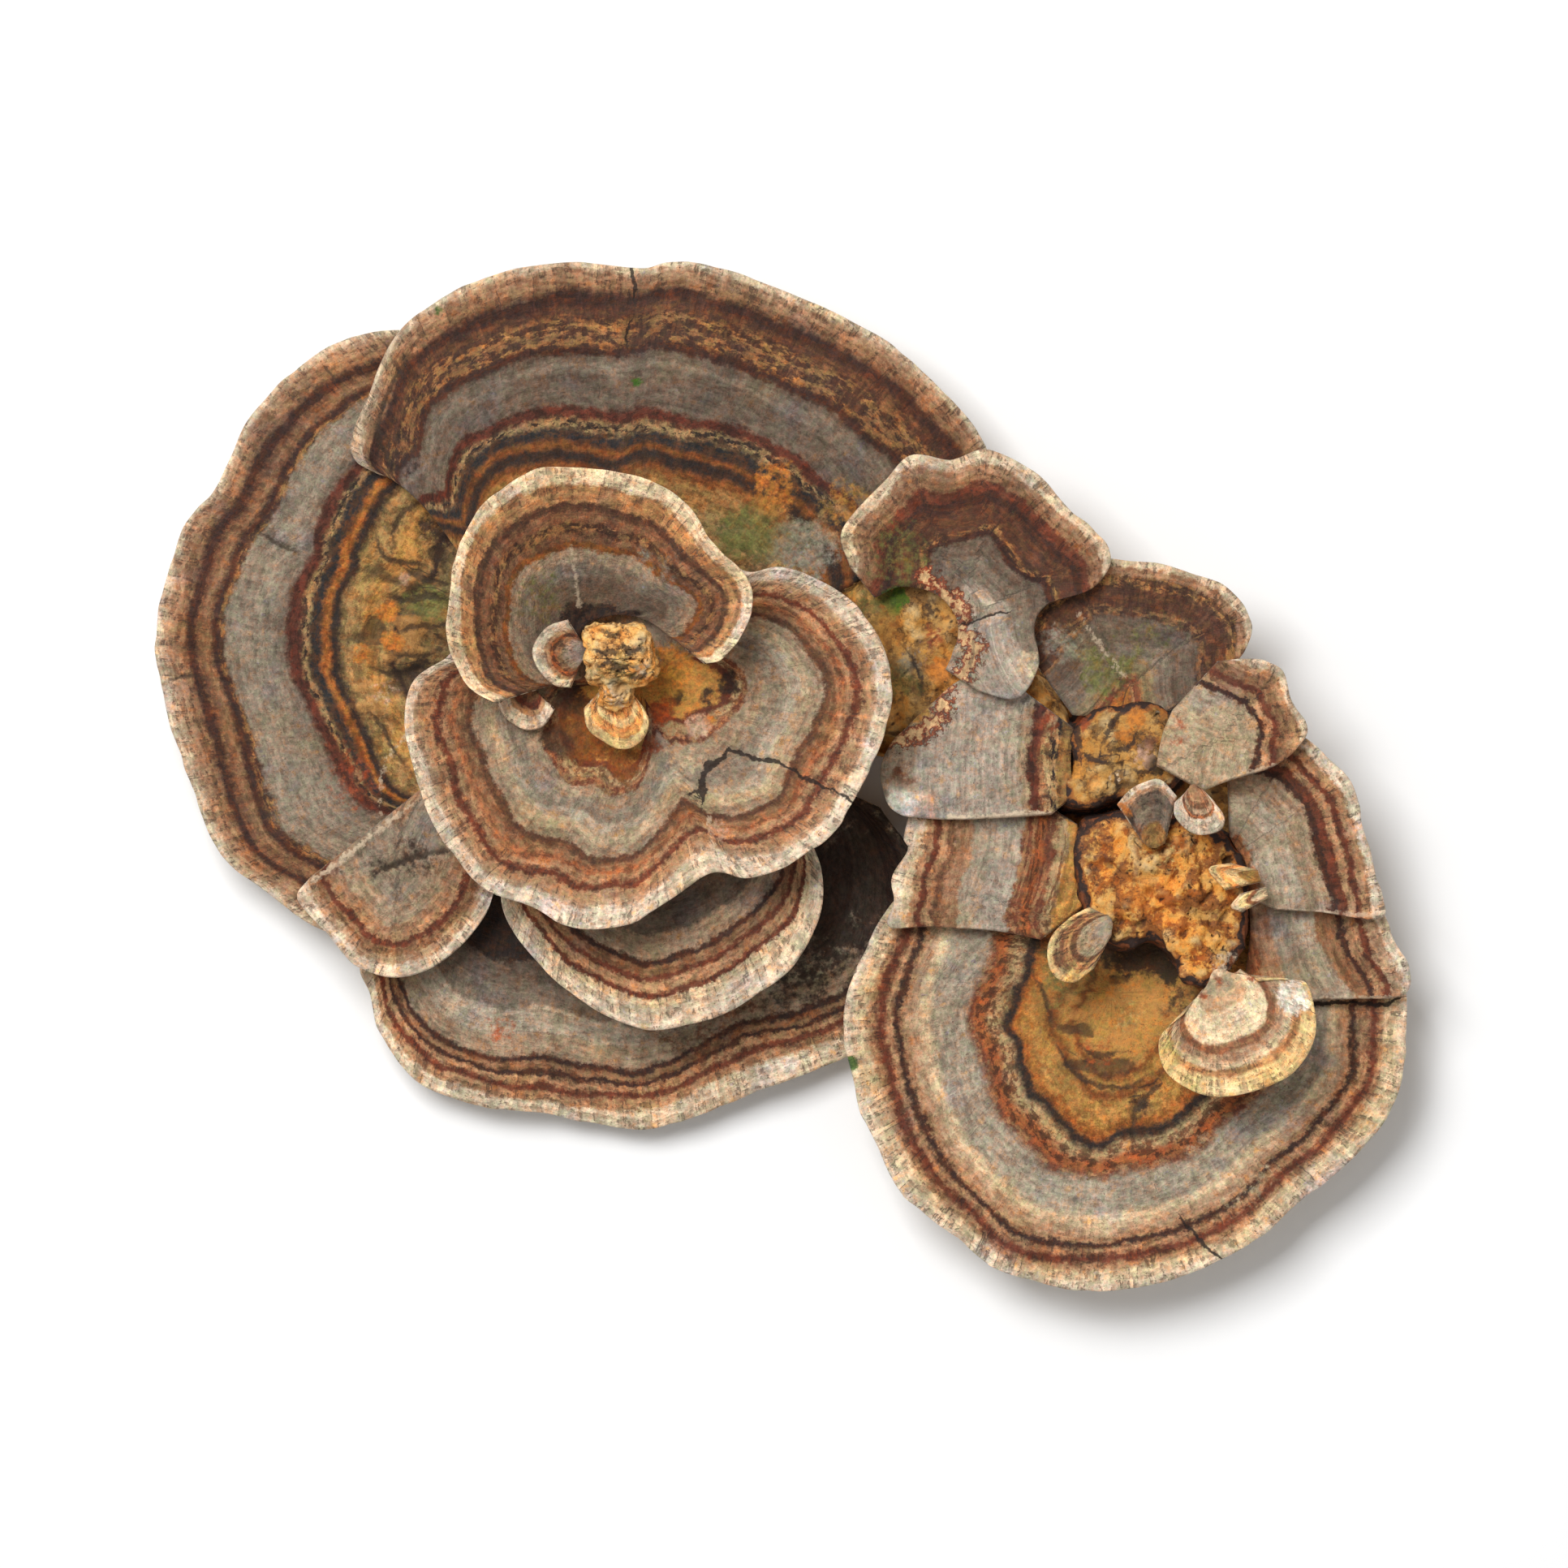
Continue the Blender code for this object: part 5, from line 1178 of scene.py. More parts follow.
KNOB_FOLDS = (
    ((-23.6, 15.4, 0.1), (-21.8, 14.9, 0.4), (-20.2, 15.4, 0.1)),
    ((-20, 16.2, 0.1), (-18.8, 15.2, 0.4), (-17, 15.4, 0.1)),
    ((-23.2, 13.4, 0.1), (-21.4, 13.7, 0.3), (-20, 13.1, 0.35), (-18, 13.4, 0.1)),
    ((-22, 17.8, 0.1), (-21, 17.1, 0.3), (-19.8, 17.6, 0.1)),
    ((-19, 12, 0.1), (-17.6, 12.1, 0.3), (-16.6, 12.9, 0.1)),
)
# These hollows are sunk and darkened, as painted shade in the crown's pits
BASE_HOLLOWS = ((46.1, 7.7, 0.55), (46.8, 2.6, 0.8))
TISSUE_STAINS = (
    (43.5, -14.5, 3, "orange", 0.45), (47, -9.5, 3.5, "yellow", 0.3), (38.6, -8.5, 3.2, "brown", 0.45),
    (40, -19.5, 2.6, "umber", 0.4), (52.5, -18, 2.2, "brown", 0.3), (54.5, -23.5, 2, "cream", 0.4),
)
# Both hollows are sunk and darkened as painted shade; the first is the shadow under the tissue's arch over
# cap_bottom_right
TISSUE_HOLLOWS = ((47, -22.6, 1.5), (54.8, -10.4, 0.7))
KNOB_STAINS = (
    (-21, 16.6, 2.4, "orange", 0.25), (-19.6, 12.6, 2.4, "olive", 0.4), (-23, 12.6, 1.2, "olive", 0.35),
    (-17, 13, 1.4, "cream", 0.4), (-20.6, 9.6, 1.8, "cream", 0.4), (-20, 10.6, 0.9, "ochre", 0.6),
)

# Drifting tints of the tissue, and the contour lines inside its outline
TISSUE_TINTS = (
    (0.3, (0.6, 0.62, 0.84, 1.0)),
    (0.4, (0.84, 0.9, 0.96, 1.0)),
    (0.47, (1.0, 1.0, 0.94, 1.0)),
    (0.54, (1.12, 0.98, 0.72, 1.0)),
    (0.62, (1.22, 0.88, 0.5, 1.0)),
    (0.7, (1.0, 0.8, 0.7, 1.0)),
)
CONTOUR_SPAN = 6.0
CONTOUR_STOPS = (
    (0.0, linear((120, 66, 36))),
    (0.04, linear((50, 34, 28))),
    (0.11, linear((54, 38, 32))),
    (0.16, linear((150, 86, 40))[:3] + [0.8]),
    (0.24, linear((170, 104, 48))[:3] + [0.0]),
)

# Small patches of cool and warm tint on the skin
TINT_STOPS = (
    (0.3, (0.88, 0.9, 1.34, 1.0)),
    (0.41, (0.88, 1.05, 0.86, 1.0)),
    (0.5, (1.0, 1.0, 1.0, 1.0)),
    (0.58, (1.13, 0.94, 0.84, 1.0)),
    (0.68, (1.28, 0.94, 0.48, 1.0)),
)

# Slow drifts of the whole skin between cool and warm
DRIFT_STOPS = (
    (0.34, (0.9, 0.94, 1.14, 1.0)),
    (0.43, (0.97, 1.0, 0.96, 1.0)),
    (0.5, (1.0, 1.0, 1.0, 1.0)),
    (0.57, (1.05, 0.99, 0.9, 1.0)),
    (0.66, (0.98, 1.0, 0.84, 1.0)),
)

# A line where skin meets tissue: cream, rust, dark, then the cap's own colour, by the share of
# LINE_REACH from it
SEAM_STOPS = (
    (0.0, linear((214, 174, 124))),
    (0.07, linear((206, 160, 112))),
    (0.10, linear((150, 72, 40))),
    (0.15, linear((134, 62, 36))),
    (0.19, linear((78, 50, 36))),
    (0.25, linear((96, 62, 44))[:3] + [0.0]),
)


# Materials


class Tree:
    """Adds nodes to a material's or a group's tree and links them.

    A method takes numbers, colours or sockets, and gives the new node's output.
    """

    def __init__(self, tree):
        self.tree = tree
        self.count = 0

    def node(self, kind, **settings):
        made = self.tree.nodes.new(kind)
        made.location = (180 * (self.count % 12), -220 * (self.count // 12))
        self.count += 1
        for key, value in settings.items():
            setattr(made, key, value)
        return made

    def put(self, socket, value):
        if isinstance(value, bpy.types.NodeSocket):
            self.tree.links.new(value, socket)
        else:
            socket.default_value = value

    def math(self, operation, first, second=0.0, third=None, clamp=False):
        made = self.node("ShaderNodeMath", operation=operation, use_clamp=clamp)
        self.put(made.inputs[0], first)
        self.put(made.inputs[1], second)
        if third is not None:
            self.put(made.inputs[2], third)
        return made.outputs[0]

    def times(self, first, second):
        return self.math("MULTIPLY", first, second)

    def minus(self, first, second):
        return self.math("SUBTRACT", first, second)

    def times_plus(self, first, second, third, clamp=False):
        return self.math("MULTIPLY_ADD", first, second, third, clamp)

    def smooth(self, value, low, high, to_low=0.0, to_high=1.0):
        made = self.node("ShaderNodeMapRange", interpolation_type="SMOOTHSTEP")
        for socket, number in zip(made.inputs[:5], (value, low, high, to_low, to_high)):
            self.put(socket, number)
        return made.outputs[0]

    def mix(self, factor, first, second, blend="MIX"):
        made = self.node("ShaderNodeMix", data_type="RGBA", blend_type=blend)
        self.put(made.inputs[0], factor)
        self.put(made.inputs[6], first)
        self.put(made.inputs[7], second)
        return made.outputs[2]

    def stretch(self, vector, by):
        made = self.node("ShaderNodeVectorMath", operation="MULTIPLY")
        self.put(made.inputs[0], vector)
        self.put(made.inputs[1], by)
        return made.outputs[0]

    def vector(self, x, y, z):
        made = self.node("ShaderNodeCombineXYZ")
        for socket, value in zip(made.inputs, (x, y, z)):
            self.put(socket, value)
        return made.outputs[0]

    def grey(self, value):
        made = self.node("ShaderNodeCombineColor")
        for socket in made.inputs[:3]:
            self.put(socket, value)
        return made.outputs[0]

    def noise(self, vector, scale=1.0, detail=2.0, roughness=0.5):
        made = self.node("ShaderNodeTexNoise", noise_dimensions="3D")
        self.put(made.inputs["Vector"], vector)
        made.inputs["Scale"].default_value = scale
        made.inputs["Detail"].default_value = detail
        made.inputs["Roughness"].default_value = roughness
        return made.outputs["Fac"]

    def attribute(self, name, output="Fac"):
        return self.node("ShaderNodeAttribute", attribute_name=name).outputs[output]

    def place(self, group, **values):
        made = self.node("ShaderNodeGroup", node_tree=group)
        for key, value in values.items():
            self.put(made.inputs[key], value)
        return made.outputs

    def ramp(self, position, stops, interpolation="EASE"):
        made = self.node("ShaderNodeValToRGB")
        made.color_ramp.interpolation = interpolation
        elements = made.color_ramp.elements
        while len(elements) < len(stops):
            elements.new(1.0)
        for element, (place, colour) in zip(elements, stops):
            element.position = place
            element.color = colour
        self.put(made.inputs[0], position)
        return made.outputs


def new_group(name, inputs, outputs):
    """A shader node group with these named sockets, and its tree, inputs and output node."""
    group = bpy.data.node_groups.new(name, "ShaderNodeTree")
    kinds = {"value": "NodeSocketFloat", "vector": "NodeSocketVector", "colour": "NodeSocketColor"}
    for label, kind in inputs:
        group.interface.new_socket(label, in_out="INPUT", socket_type=kinds[kind])
    for label, kind in outputs:
        group.interface.new_socket(label, in_out="OUTPUT", socket_type=kinds[kind])
    tree = Tree(group)
    return group, tree, tree.node("NodeGroupInput").outputs, tree.node("NodeGroupOutput").inputs


def made_once(name, make):
    """The node group of this name, made when it is first asked for."""
    return bpy.data.node_groups.get(name) or make(name)


def make_band_position(name):
    """Where a point lies among the bands, with their edges wandering and ragged."""
    group, tree, given, result = new_group(
        name,
        (("Zone", "value"), ("Grain", "vector"), ("Place", "vector"), ("Depth", "value"),
         ("Wobble", "value"), ("Ragged", "value")),
        (("Position", "value"),),
    )
    slow = tree.minus(tree.noise(tree.stretch(given["Grain"], (0.16, 0.16, 0.06)), 1.0, 2.0), 0.5)
    quick = tree.minus(tree.noise(given["Place"], BAND_EDGE, 5.0, 0.72), 0.5)
    shift = tree.times(slow, given["Wobble"])
    shift = tree.times_plus(quick, given["Ragged"], shift)
    shift = tree.math("DIVIDE", shift, given["Depth"])
    tree.put(result["Position"], tree.math("ADD", given["Zone"], shift, clamp=True))
    return group


def make_skin_texture(name):
    """A cap's skin: blotches, grit, pleats near the rim, dashes and thin creases along the rings, tints."""
    group, tree, given, result = new_group(
        name,
        (("Grain", "vector"), ("Place", "vector"), ("Spread", "value")),
        (("Fibre", "value"), ("Speckle", "value"), ("Dots", "value"), ("Crease", "value"),
         ("Tone", "colour"), ("Tint", "colour"), ("Height", "value")),
    )
    blotch = tree.noise(given["Place"], BLOTCH, 5.0, 0.66)
    grit = tree.noise(given["Place"], GRIT, 3.0, 0.6)
    patch = tree.noise(given["Place"], PATCH, 4.0, 0.66)
    tint = tree.noise(given["Place"], TINT, 5.0, 0.75)
    bent = tree.times(blotch, 0.7)
    grain = tree.node("ShaderNodeVectorMath", operation="ADD")
    tree.put(grain.inputs[0], tree.vector(bent, bent, bent))
    tree.put(grain.inputs[1], given["Grain"])
    grain = grain.outputs[0]
    apart = tree.node("ShaderNodeSeparateXYZ")
    tree.put(apart.inputs[0], given["Grain"])
    open_skin = tree.smooth(given["Spread"], 0.12, 0.5)
    near_rim = tree.times(tree.smooth(apart.outputs[2], 2.5, 8.0, 1.0, 0.3), open_skin)
    fibre = tree.noise(tree.stretch(grain, (1.7, 1.7, 0.42)), 1.0, 3.0, 0.6)
    pleat = tree.noise(tree.stretch(grain, (0.8, 0.8, 0.13)), 1.0, 3.0, 0.5)
    lines = tree.noise(tree.stretch(grain, (0.16, 0.16, 1.8)), 1.0, 3.0, 0.66)
    ring = tree.noise(tree.stretch(grain, (0.1, 0.1, 0.62)), 1.0, 3.0, 0.5)
    dash = tree.noise(tree.stretch(grain, (0.4, 0.4, 1.15)), 1.0, 5.0, 0.7)
    dash = tree.times_plus(tree.minus(dash, blotch), open_skin, blotch)
    lines = tree.times_plus(tree.minus(lines, blotch), open_skin, blotch)
    ring_line = tree.smooth(tree.math("ABSOLUTE", tree.minus(ring, 0.5)), 0.0, 0.05, 1.0, 0.0)
    pleat_line = tree.smooth(tree.math("ABSOLUTE", tree.minus(pleat, 0.5)), 0.0, 0.045, 1.0, 0.0)
    pleat_line = tree.times(pleat_line, near_rim)
    ring_line = tree.times(tree.times(ring_line, open_skin), 0.35)
    crease = tree.times(tree.math("MAXIMUM", ring_line, pleat_line), tree.smooth(dash, 0.46, 0.6))
    tone = tree.times(tree.smooth(lines, 0.4, 0.6, 0.88, 1.1), tree.smooth(patch, 0.34, 0.66, 0.84, 1.14))
    tone = tree.times(tone, tree.smooth(blotch, 0.34, 0.66, 0.76, 1.21))
    tone = tree.times(tone, tree.smooth(grit, 0.34, 0.66, 0.85, 1.13))
    strokes = tree.times(tree.smooth(fibre, 0.38, 0.62, -0.08, 0.08), open_skin)
    tone = tree.times(tone, tree.math("ADD", 1.0, strokes))
    swing = tree.times(tree.smooth(pleat, 0.34, 0.66, -0.22, 0.2), near_rim)
    tone = tree.times(tone, tree.math("ADD", 1.0, swing))
    height = tree.times_plus(fibre, 0.25, tree.times(blotch, 0.7))
    height = tree.times_plus(lines, 0.8, height)
    height = tree.times_plus(grit, 0.35, height)
    height = tree.times_plus(tree.times(pleat, near_rim), 1.6, height)
    height = tree.times_plus(crease, -0.7, height)
    tree.put(result["Fibre"], tree.times(tree.smooth(fibre, 0.46, 0.66), open_skin))
    tree.put(result["Speckle"], tree.smooth(dash, 0.46, 0.56))
    tree.put(result["Dots"], tree.smooth(grit, 0.6, 0.68))
    tree.put(result["Crease"], crease)
    tree.put(result["Tone"], tree.grey(tone))
    drift = tree.ramp(tree.noise(given["Place"], DRIFT, 4.0, 0.6), DRIFT_STOPS, "LINEAR")["Color"]
    patches = tree.ramp(tint, TINT_STOPS, "LINEAR")["Color"]
    tree.put(result["Tint"], tree.mix(1.0, patches, drift, "MULTIPLY"))
    tree.put(result["Height"], height)
    return group


def make_pore_surface(name):
    """The cream underside with its fine pores."""
    group, tree, given, result = new_group(
        name,
        (("Place", "vector"), ("Tint", "colour")),
        (("Color", "colour"), ("Height", "value")),
    )
    pores = tree.node("ShaderNodeTexVoronoi", feature="F1", voronoi_dimensions="3D")
    tree.put(pores.inputs["Vector"], given["Place"])
    pores.inputs["Scale"].default_value = PORES
    hole = tree.smooth(pores.outputs["Distance"], 0.1, 0.42)
    mottle = tree.noise(given["Place"], MOTTLE, 3.0)
    shaded = tree.mix(tree.smooth(mottle, 0.35, 0.65, 0.0, 0.35), given["Tint"], (0.42, 0.26, 0.14, 1))
    tree.put(result["Color"], tree.mix(tree.times(tree.minus(1.0, hole), 0.45),
                                       shaded, (0.2, 0.11, 0.06, 1)))
    tree.put(result["Height"], hole)
    return group


def make_lumpy_tissue(name):
    """Gnarly joining tissue: light lumps, painted shade in the hollows and creases, a painted highlight
    on the crests, contour lines round its edge.
    """
    group, tree, given, result = new_group(
        name,
        (("Place", "vector"), ("Pit", "value"), ("Crest", "value"), ("Contour", "value"), ("Grit", "value"),
         ("Light", "colour"), ("Middle", "colour"), ("Deep", "colour")),
        (("Color", "colour"), ("Height", "value"), ("Roughness", "value")),
    )
    broad = tree.noise(given["Place"], LUMPS, 5.0, 0.66)
    fine = tree.noise(given["Place"], WRINKLES, 5.0, 0.72)
    drift = tree.noise(given["Place"], TISSUE_DRIFT, 5.0, 0.7)
    colour = tree.mix(tree.smooth(broad, 0.46, 0.55), given["Middle"], given["Light"])
    colour = tree.mix(tree.smooth(fine, 0.5, 0.58, 0.0, 0.6), colour, given["Middle"])
    # Painted highlight on the crests
    colour = tree.mix(tree.times(given["Crest"], 0.55), colour, (0.8, 0.56, 0.27, 1))
    colour = tree.mix(1.0, colour, tree.ramp(drift, TISSUE_TINTS, "LINEAR")["Color"], "MULTIPLY")
    colour = tree.mix(1.0, colour, tree.grey(tree.smooth(fine, 0.36, 0.64, 0.72, 1.26)), "MULTIPLY")
    vein = tree.smooth(tree.math("ABSOLUTE", tree.minus(drift, 0.5)), 0.0, 0.03, 0.75, 0.0)
    colour = tree.mix(tree.times(vein, tree.smooth(broad, 0.4, 0.52, 1.0, 0.0)), colour, given["Deep"])
    colour = tree.mix(tree.times(tree.smooth(fine, 0.6, 0.68), given["Grit"]), colour, given["Deep"])
    away = tree.times_plus(tree.minus(fine, 0.5), 1.6, given["Contour"])
    ring = tree.ramp(tree.math("DIVIDE", away, CONTOUR_SPAN, clamp=True), CONTOUR_STOPS)
    colour = tree.mix(ring["Alpha"], colour, ring["Color"])
    # Painted shade in the pits, hollows and creases
    ragged = tree.times_plus(tree.minus(fine, 0.5), 0.7, given["Pit"])
    colour = tree.mix(tree.smooth(ragged, 0.3, 0.75, 0.0, 0.9), colour, given["Deep"])
    tree.put(result["Color"], colour)
    tree.put(result["Height"], tree.times_plus(fine, 0.6, broad))
    tree.put(result["Roughness"], tree.smooth(fine, 0.3, 0.7, 0.55, 0.85))
    return group


def new_material(name, sheen=0.0):
    """A matt material, its tree and its shader."""
    material = bpy.data.materials.new(name)
    material.use_nodes = True
    tree = Tree(material.node_tree)
    shader = material.node_tree.nodes["Principled BSDF"]
    shader.inputs["Metallic"].default_value = 0.0
    shader.inputs["Sheen Weight"].default_value = sheen
    shader.inputs["Specular IOR Level"].default_value = 0.3
    return material, tree, shader


def bumped(tree, shader, height, depth):
    """Gives the shader relief of this depth, in metres."""
    bump = tree.node("ShaderNodeBump")
    bump.inputs["Strength"].default_value = 1.0
    bump.inputs["Distance"].default_value = depth
    tree.put(bump.inputs["Height"], height)
    tree.put(shader.inputs["Normal"], bump.outputs["Normal"])


def ramp_stops(skin, field):
    """(position, colour) of the bands, two stops to a wide band and one to a narrow one."""
    depth = zone_depth(skin)
    reference = 1 + len(skin.shares) // 2
    starts = [band[reference] for band in skin.bands]
    ends = starts[1:] + [depth]
    spare = MOST_STOPS - len(starts)
    order = sorted(range(len(starts)),
                   key=lambda i: (skin.bands[i][0] not in DARK_LINES, starts[i] - ends[i]))
    stops = []
    for i, band in enumerate(skin.bands):
        base, fleck, speckle, fibre = ZONES[band[0]]
        colour = linear(base)[:3] + [speckle] if field == "base" else linear(fleck)[:3] + [fibre]
        start, end = starts[i], ends[i]
        if i in order[:spare]:
            margin = min(BAND_BLEND, 0.24 * (end - start))
            stops.append(((start + margin) / depth if i else 0.0, colour))
            stops.append(((end - margin) / depth, colour))
        else:
            stops.append(((start + end) / 2 / depth if i else 0.0, colour))
    return stops


def inked(tree, colour, kind, wander, ragged, edge, full, strength, ink):
    """The colour with the lines of this kind drawn over it, as wide as they are painted.

    ragged is how far their edges stray, edge where they fade out, and full the width from which a
    line has its full strength.
    """
    width = tree.attribute(kind + "_width")
    away = tree.math("ABSOLUTE", tree.times_plus(wander, ragged, tree.attribute(kind)))
    line = tree.smooth(tree.minus(away, width), *edge, 1.0, 0.0)
    line = tree.times(line, tree.smooth(width, 0.01, full, 0.0, strength))
    return tree.mix(line, colour, linear(ink))


def cap_material(cap, skin):
    """Bands by distance from the growing edge, fibres, specks, stains, cracks, and the pale underside.

    Some of it is painted light: shade in the ripples' hollows, in the folds and in gaps under caps
    above, and a highlight on the ripples' crests and on lit lips.
    """
    material, tree, shader = new_material(cap.name + "_skin", sheen=0.12)
    grain = tree.attribute("grain", "Vector")
    place = tree.node("ShaderNodeTexCoord").outputs["Object"]
    position = tree.place(
        made_once("band_position", make_band_position),
        Zone=tree.attribute("zone"), Grain=grain, Place=place, Depth=zone_depth(skin),
        Wobble=0.5 if cap.small else 1.0, Ragged=1.1 if cap.small else 2.0,
    )["Position"]
    texture = tree.place(made_once("skin_texture", make_skin_texture), Grain=grain, Place=place,
                         Spread=tree.attribute("spread"))
    base = tree.ramp(position, ramp_stops(skin, "base"))
    fleck = tree.ramp(position, ramp_stops(skin, "fleck"))
    specks = tree.times(texture["Speckle"], base["Alpha"])
    strands = tree.times(tree.times(texture["Fibre"], fleck["Alpha"]), 0.6)
    colour = tree.mix(tree.math("MAXIMUM", specks, strands), base["Color"], fleck["Color"])
    colour = tree.mix(1.0, colour, texture["Tone"], "MULTIPLY")
    tinted = tree.times_plus(fleck["Alpha"], -0.5, 1.15, clamp=True)
    colour = tree.mix(tinted, colour, texture["Tint"], "MULTIPLY")
    wander = tree.minus(tree.noise(place, WANDER, 4.0, 0.7), 0.5)
    # Painted shade in the ripples' hollows and a painted highlight on their crests
    hollow = tree.times_plus(wander, 0.7, tree.attribute("hollow"))
    colour = tree.mix(tree.smooth(hollow, 0.2, 0.5, 0.0, 0.7), colour, linear((56, 40, 26)))
    colour = tree.mix(tree.smooth(hollow, -0.25, -0.55, 0.0, 0.4), colour, linear((214, 150, 80)))
    colour = tree.mix(tree.times(texture["Crease"], 0.5), colour, linear((62, 38, 28)))
    colour = tree.mix(tree.times(texture["Dots"], 0.55), colour, linear((70, 40, 30)))
    # Painted spots: the skin's own discolouring, and painted shade in gaps and under the rims of caps above
    if skin.stains_and_shade:
        stain = tree.node("ShaderNodeAttribute", attribute_name="stain")
        amount = tree.smooth(tree.times_plus(wander, 1.5, stain.outputs["Alpha"]), 0.2, 0.66, 0.0, 0.92)
        stain_and_shade_colour = tree.mix(1.0, stain.outputs["Color"], texture["Tone"], "MULTIPLY")
        colour = tree.mix(amount, colour, tree.mix(1.0, stain_and_shade_colour, texture["Tint"], "MULTIPLY"))
    if skin.seams:
        away = tree.times_plus(wander, LINE_REACH, tree.attribute("seam"))
        contour = tree.ramp(tree.math("DIVIDE", away, LINE_REACH), SEAM_STOPS)
        broken = tree.mix(1.0, contour["Color"], texture["Tone"], "MULTIPLY")
        colour = tree.mix(tree.times(contour["Alpha"], 0.9), colour, broken)
    # Cream along the lips: the pale colour of free edges and creases, and on lit ridges, such as cap_top's
    # rolled lip and the ridge at the left of cap_lower_left, a painted highlight
    if skin.lips:
        away = tree.times_plus(wander, 2.2, tree.attribute("lip"))
        bright = skin.lip_strength
        colour = tree.mix(tree.smooth(away, 0.5 * bright - 0.2, 0.8 * bright, bright, 0.0), colour,
                          linear(PAINTS["cream"]))
    # Folds inked dark: painted shade in their creases
    if skin.folds:
        colour = inked(tree, colour, "fold", wander, 1.6, (-0.15, 0.3), 0.2, 0.8, (52, 38, 26))
    # Cracks inked dark; on cap_bottom_right one line is painted shadow under the edge of cap_right_low
    if skin.cracks_and_shadow_lines:
        jagged = tree.minus(tree.noise(place, JAG, 3.0, 0.6), 0.5)
        colour = inked(tree, colour, "crack", jagged, 1.5, (-0.02, 0.16), 0.07, 0.92, (36, 24, 18))
    pores = tree.place(made_once("pore_surface", make_pore_surface), Place=place,
                       Tint=linear((232, 212, 182)))
    under = tree.smooth(tree.attribute("under"), 0.45, 0.8)
    colour = tree.mix(under, colour, pores["Color"])
    tree.put(shader.inputs["Base Color"], colour)
    rough = tree.smooth(texture["Speckle"], 0.0, 1.0, 0.66, 0.88)
    tree.put(shader.inputs["Roughness"], rough)
    height = tree.times(texture["Height"], tree.minus(1.0, under))
    height = tree.times_plus(tree.times(pores["Height"], under), 0.5, height)
    bumped(tree, shader, height, SKIN_BUMP)
    return material


def tissue_material(name, light, middle, deep, grit=0.3):
    """Lumpy tissue in three colours, with its stains and folds; the folds are inked dark as painted
    shade in their creases, and some spots are painted shade.
    """
    material, tree, shader = new_material(name)
    place = tree.node("ShaderNodeTexCoord").outputs["Object"]
    tissue = tree.place(
        made_once("lumpy_tissue", make_lumpy_tissue), Place=place, Pit=tree.attribute("pit"),
        Crest=tree.attribute("crest"), Contour=tree.attribute("contour"), Grit=grit,
        Light=linear(light), Middle=linear(middle), Deep=linear(deep),
    )
    stain = tree.node("ShaderNodeAttribute", attribute_name="stain")
    wander = tree.minus(tree.noise(place, TISSUE_WANDER, 4.0, 0.7), 0.5)
    amount = tree.smooth(tree.times_plus(wander, 1.5, stain.outputs["Alpha"]), 0.25, 0.6, 0.0, 0.85)
    shade = tree.grey(tree.smooth(tree.noise(place, WRINKLES, 5.0, 0.72), 0.36, 0.64, 0.66, 1.3))
    colour = tree.mix(amount, tissue["Color"], tree.mix(1.0, stain.outputs["Color"], shade, "MULTIPLY"))
    # Folds inked dark: painted shade in their creases
    colour = inked(tree, colour, "fold", wander, 2.0, (-0.1, 0.25), 0.2, 0.85, (46, 34, 30))
    tree.put(shader.inputs["Base Color"], colour)
    tree.put(shader.inputs["Roughness"], tissue["Roughness"])
    bumped(tree, shader, tissue["Height"], TISSUE_BUMP)
    return material


# Mounds of tissue


def mound(name, outline, foot, top, rows=MOUND_ROWS):
    """A lump that rises from its foot to a shoulder along its outline, and on to its top."""
    edge = smooth_curve(outline, True)
    columns = int(math.ceil(run_of(edge)[-1] / MOUND_STEP))
    shares = (np.arange(columns + 1) % columns) / columns
    point = along(edge, shares)
    middle = edge[:, :2].mean(axis=0)
    reach, level = smooth_curve([(a, b, 0) for a, b in rows], False)[:, :2].T
    level = np.clip(level, 0, 2)
    plan = middle + (point[:, None, :2] - middle) * np.clip(reach, 0, None)[None, :, None]
    rim = point[:, None, 2]
    height = foot + (rim - foot) * np.minimum(level, 1)[None] + (top - rim) * np.maximum(level - 1, 0)[None]
    places = np.concatenate([plan, height[:, :, None]], axis=2)
    places[:, -1] = places[:, -1].mean(axis=0)
    piece, _, _ = grid_piece(name, columns, len(reach) - 1, places)
    closed_up(piece)
    return piece


def applied(piece, kind, **settings):
    """Adds a modifier with these settings and applies it."""
    make_active(piece)
    bpy.ops.object.modifier_add(type=kind)
    modifier = piece.modifiers[-1]
    for key, value in settings.items():
        setattr(modifier, key, value)
    bpy.ops.object.modifier_apply(modifier=modifier.name)


def joined(pieces):
    """The pieces as one, which is the first of them."""
    deselect_all()
    for piece in pieces:
        piece.select_set(True)
    bpy.context.view_layer.objects.active = pieces[0]
    bpy.ops.object.join()
    return pieces[0]


def rough(points, size, seed):
    """Gradient noise between about -1 and 1, one lump to this many millimetres."""
    shift = Vector((seed * 7.3, seed * 3.1, seed * 5.7))
    return np.array([noise.noise(Vector(point) / size + shift) for point in points])


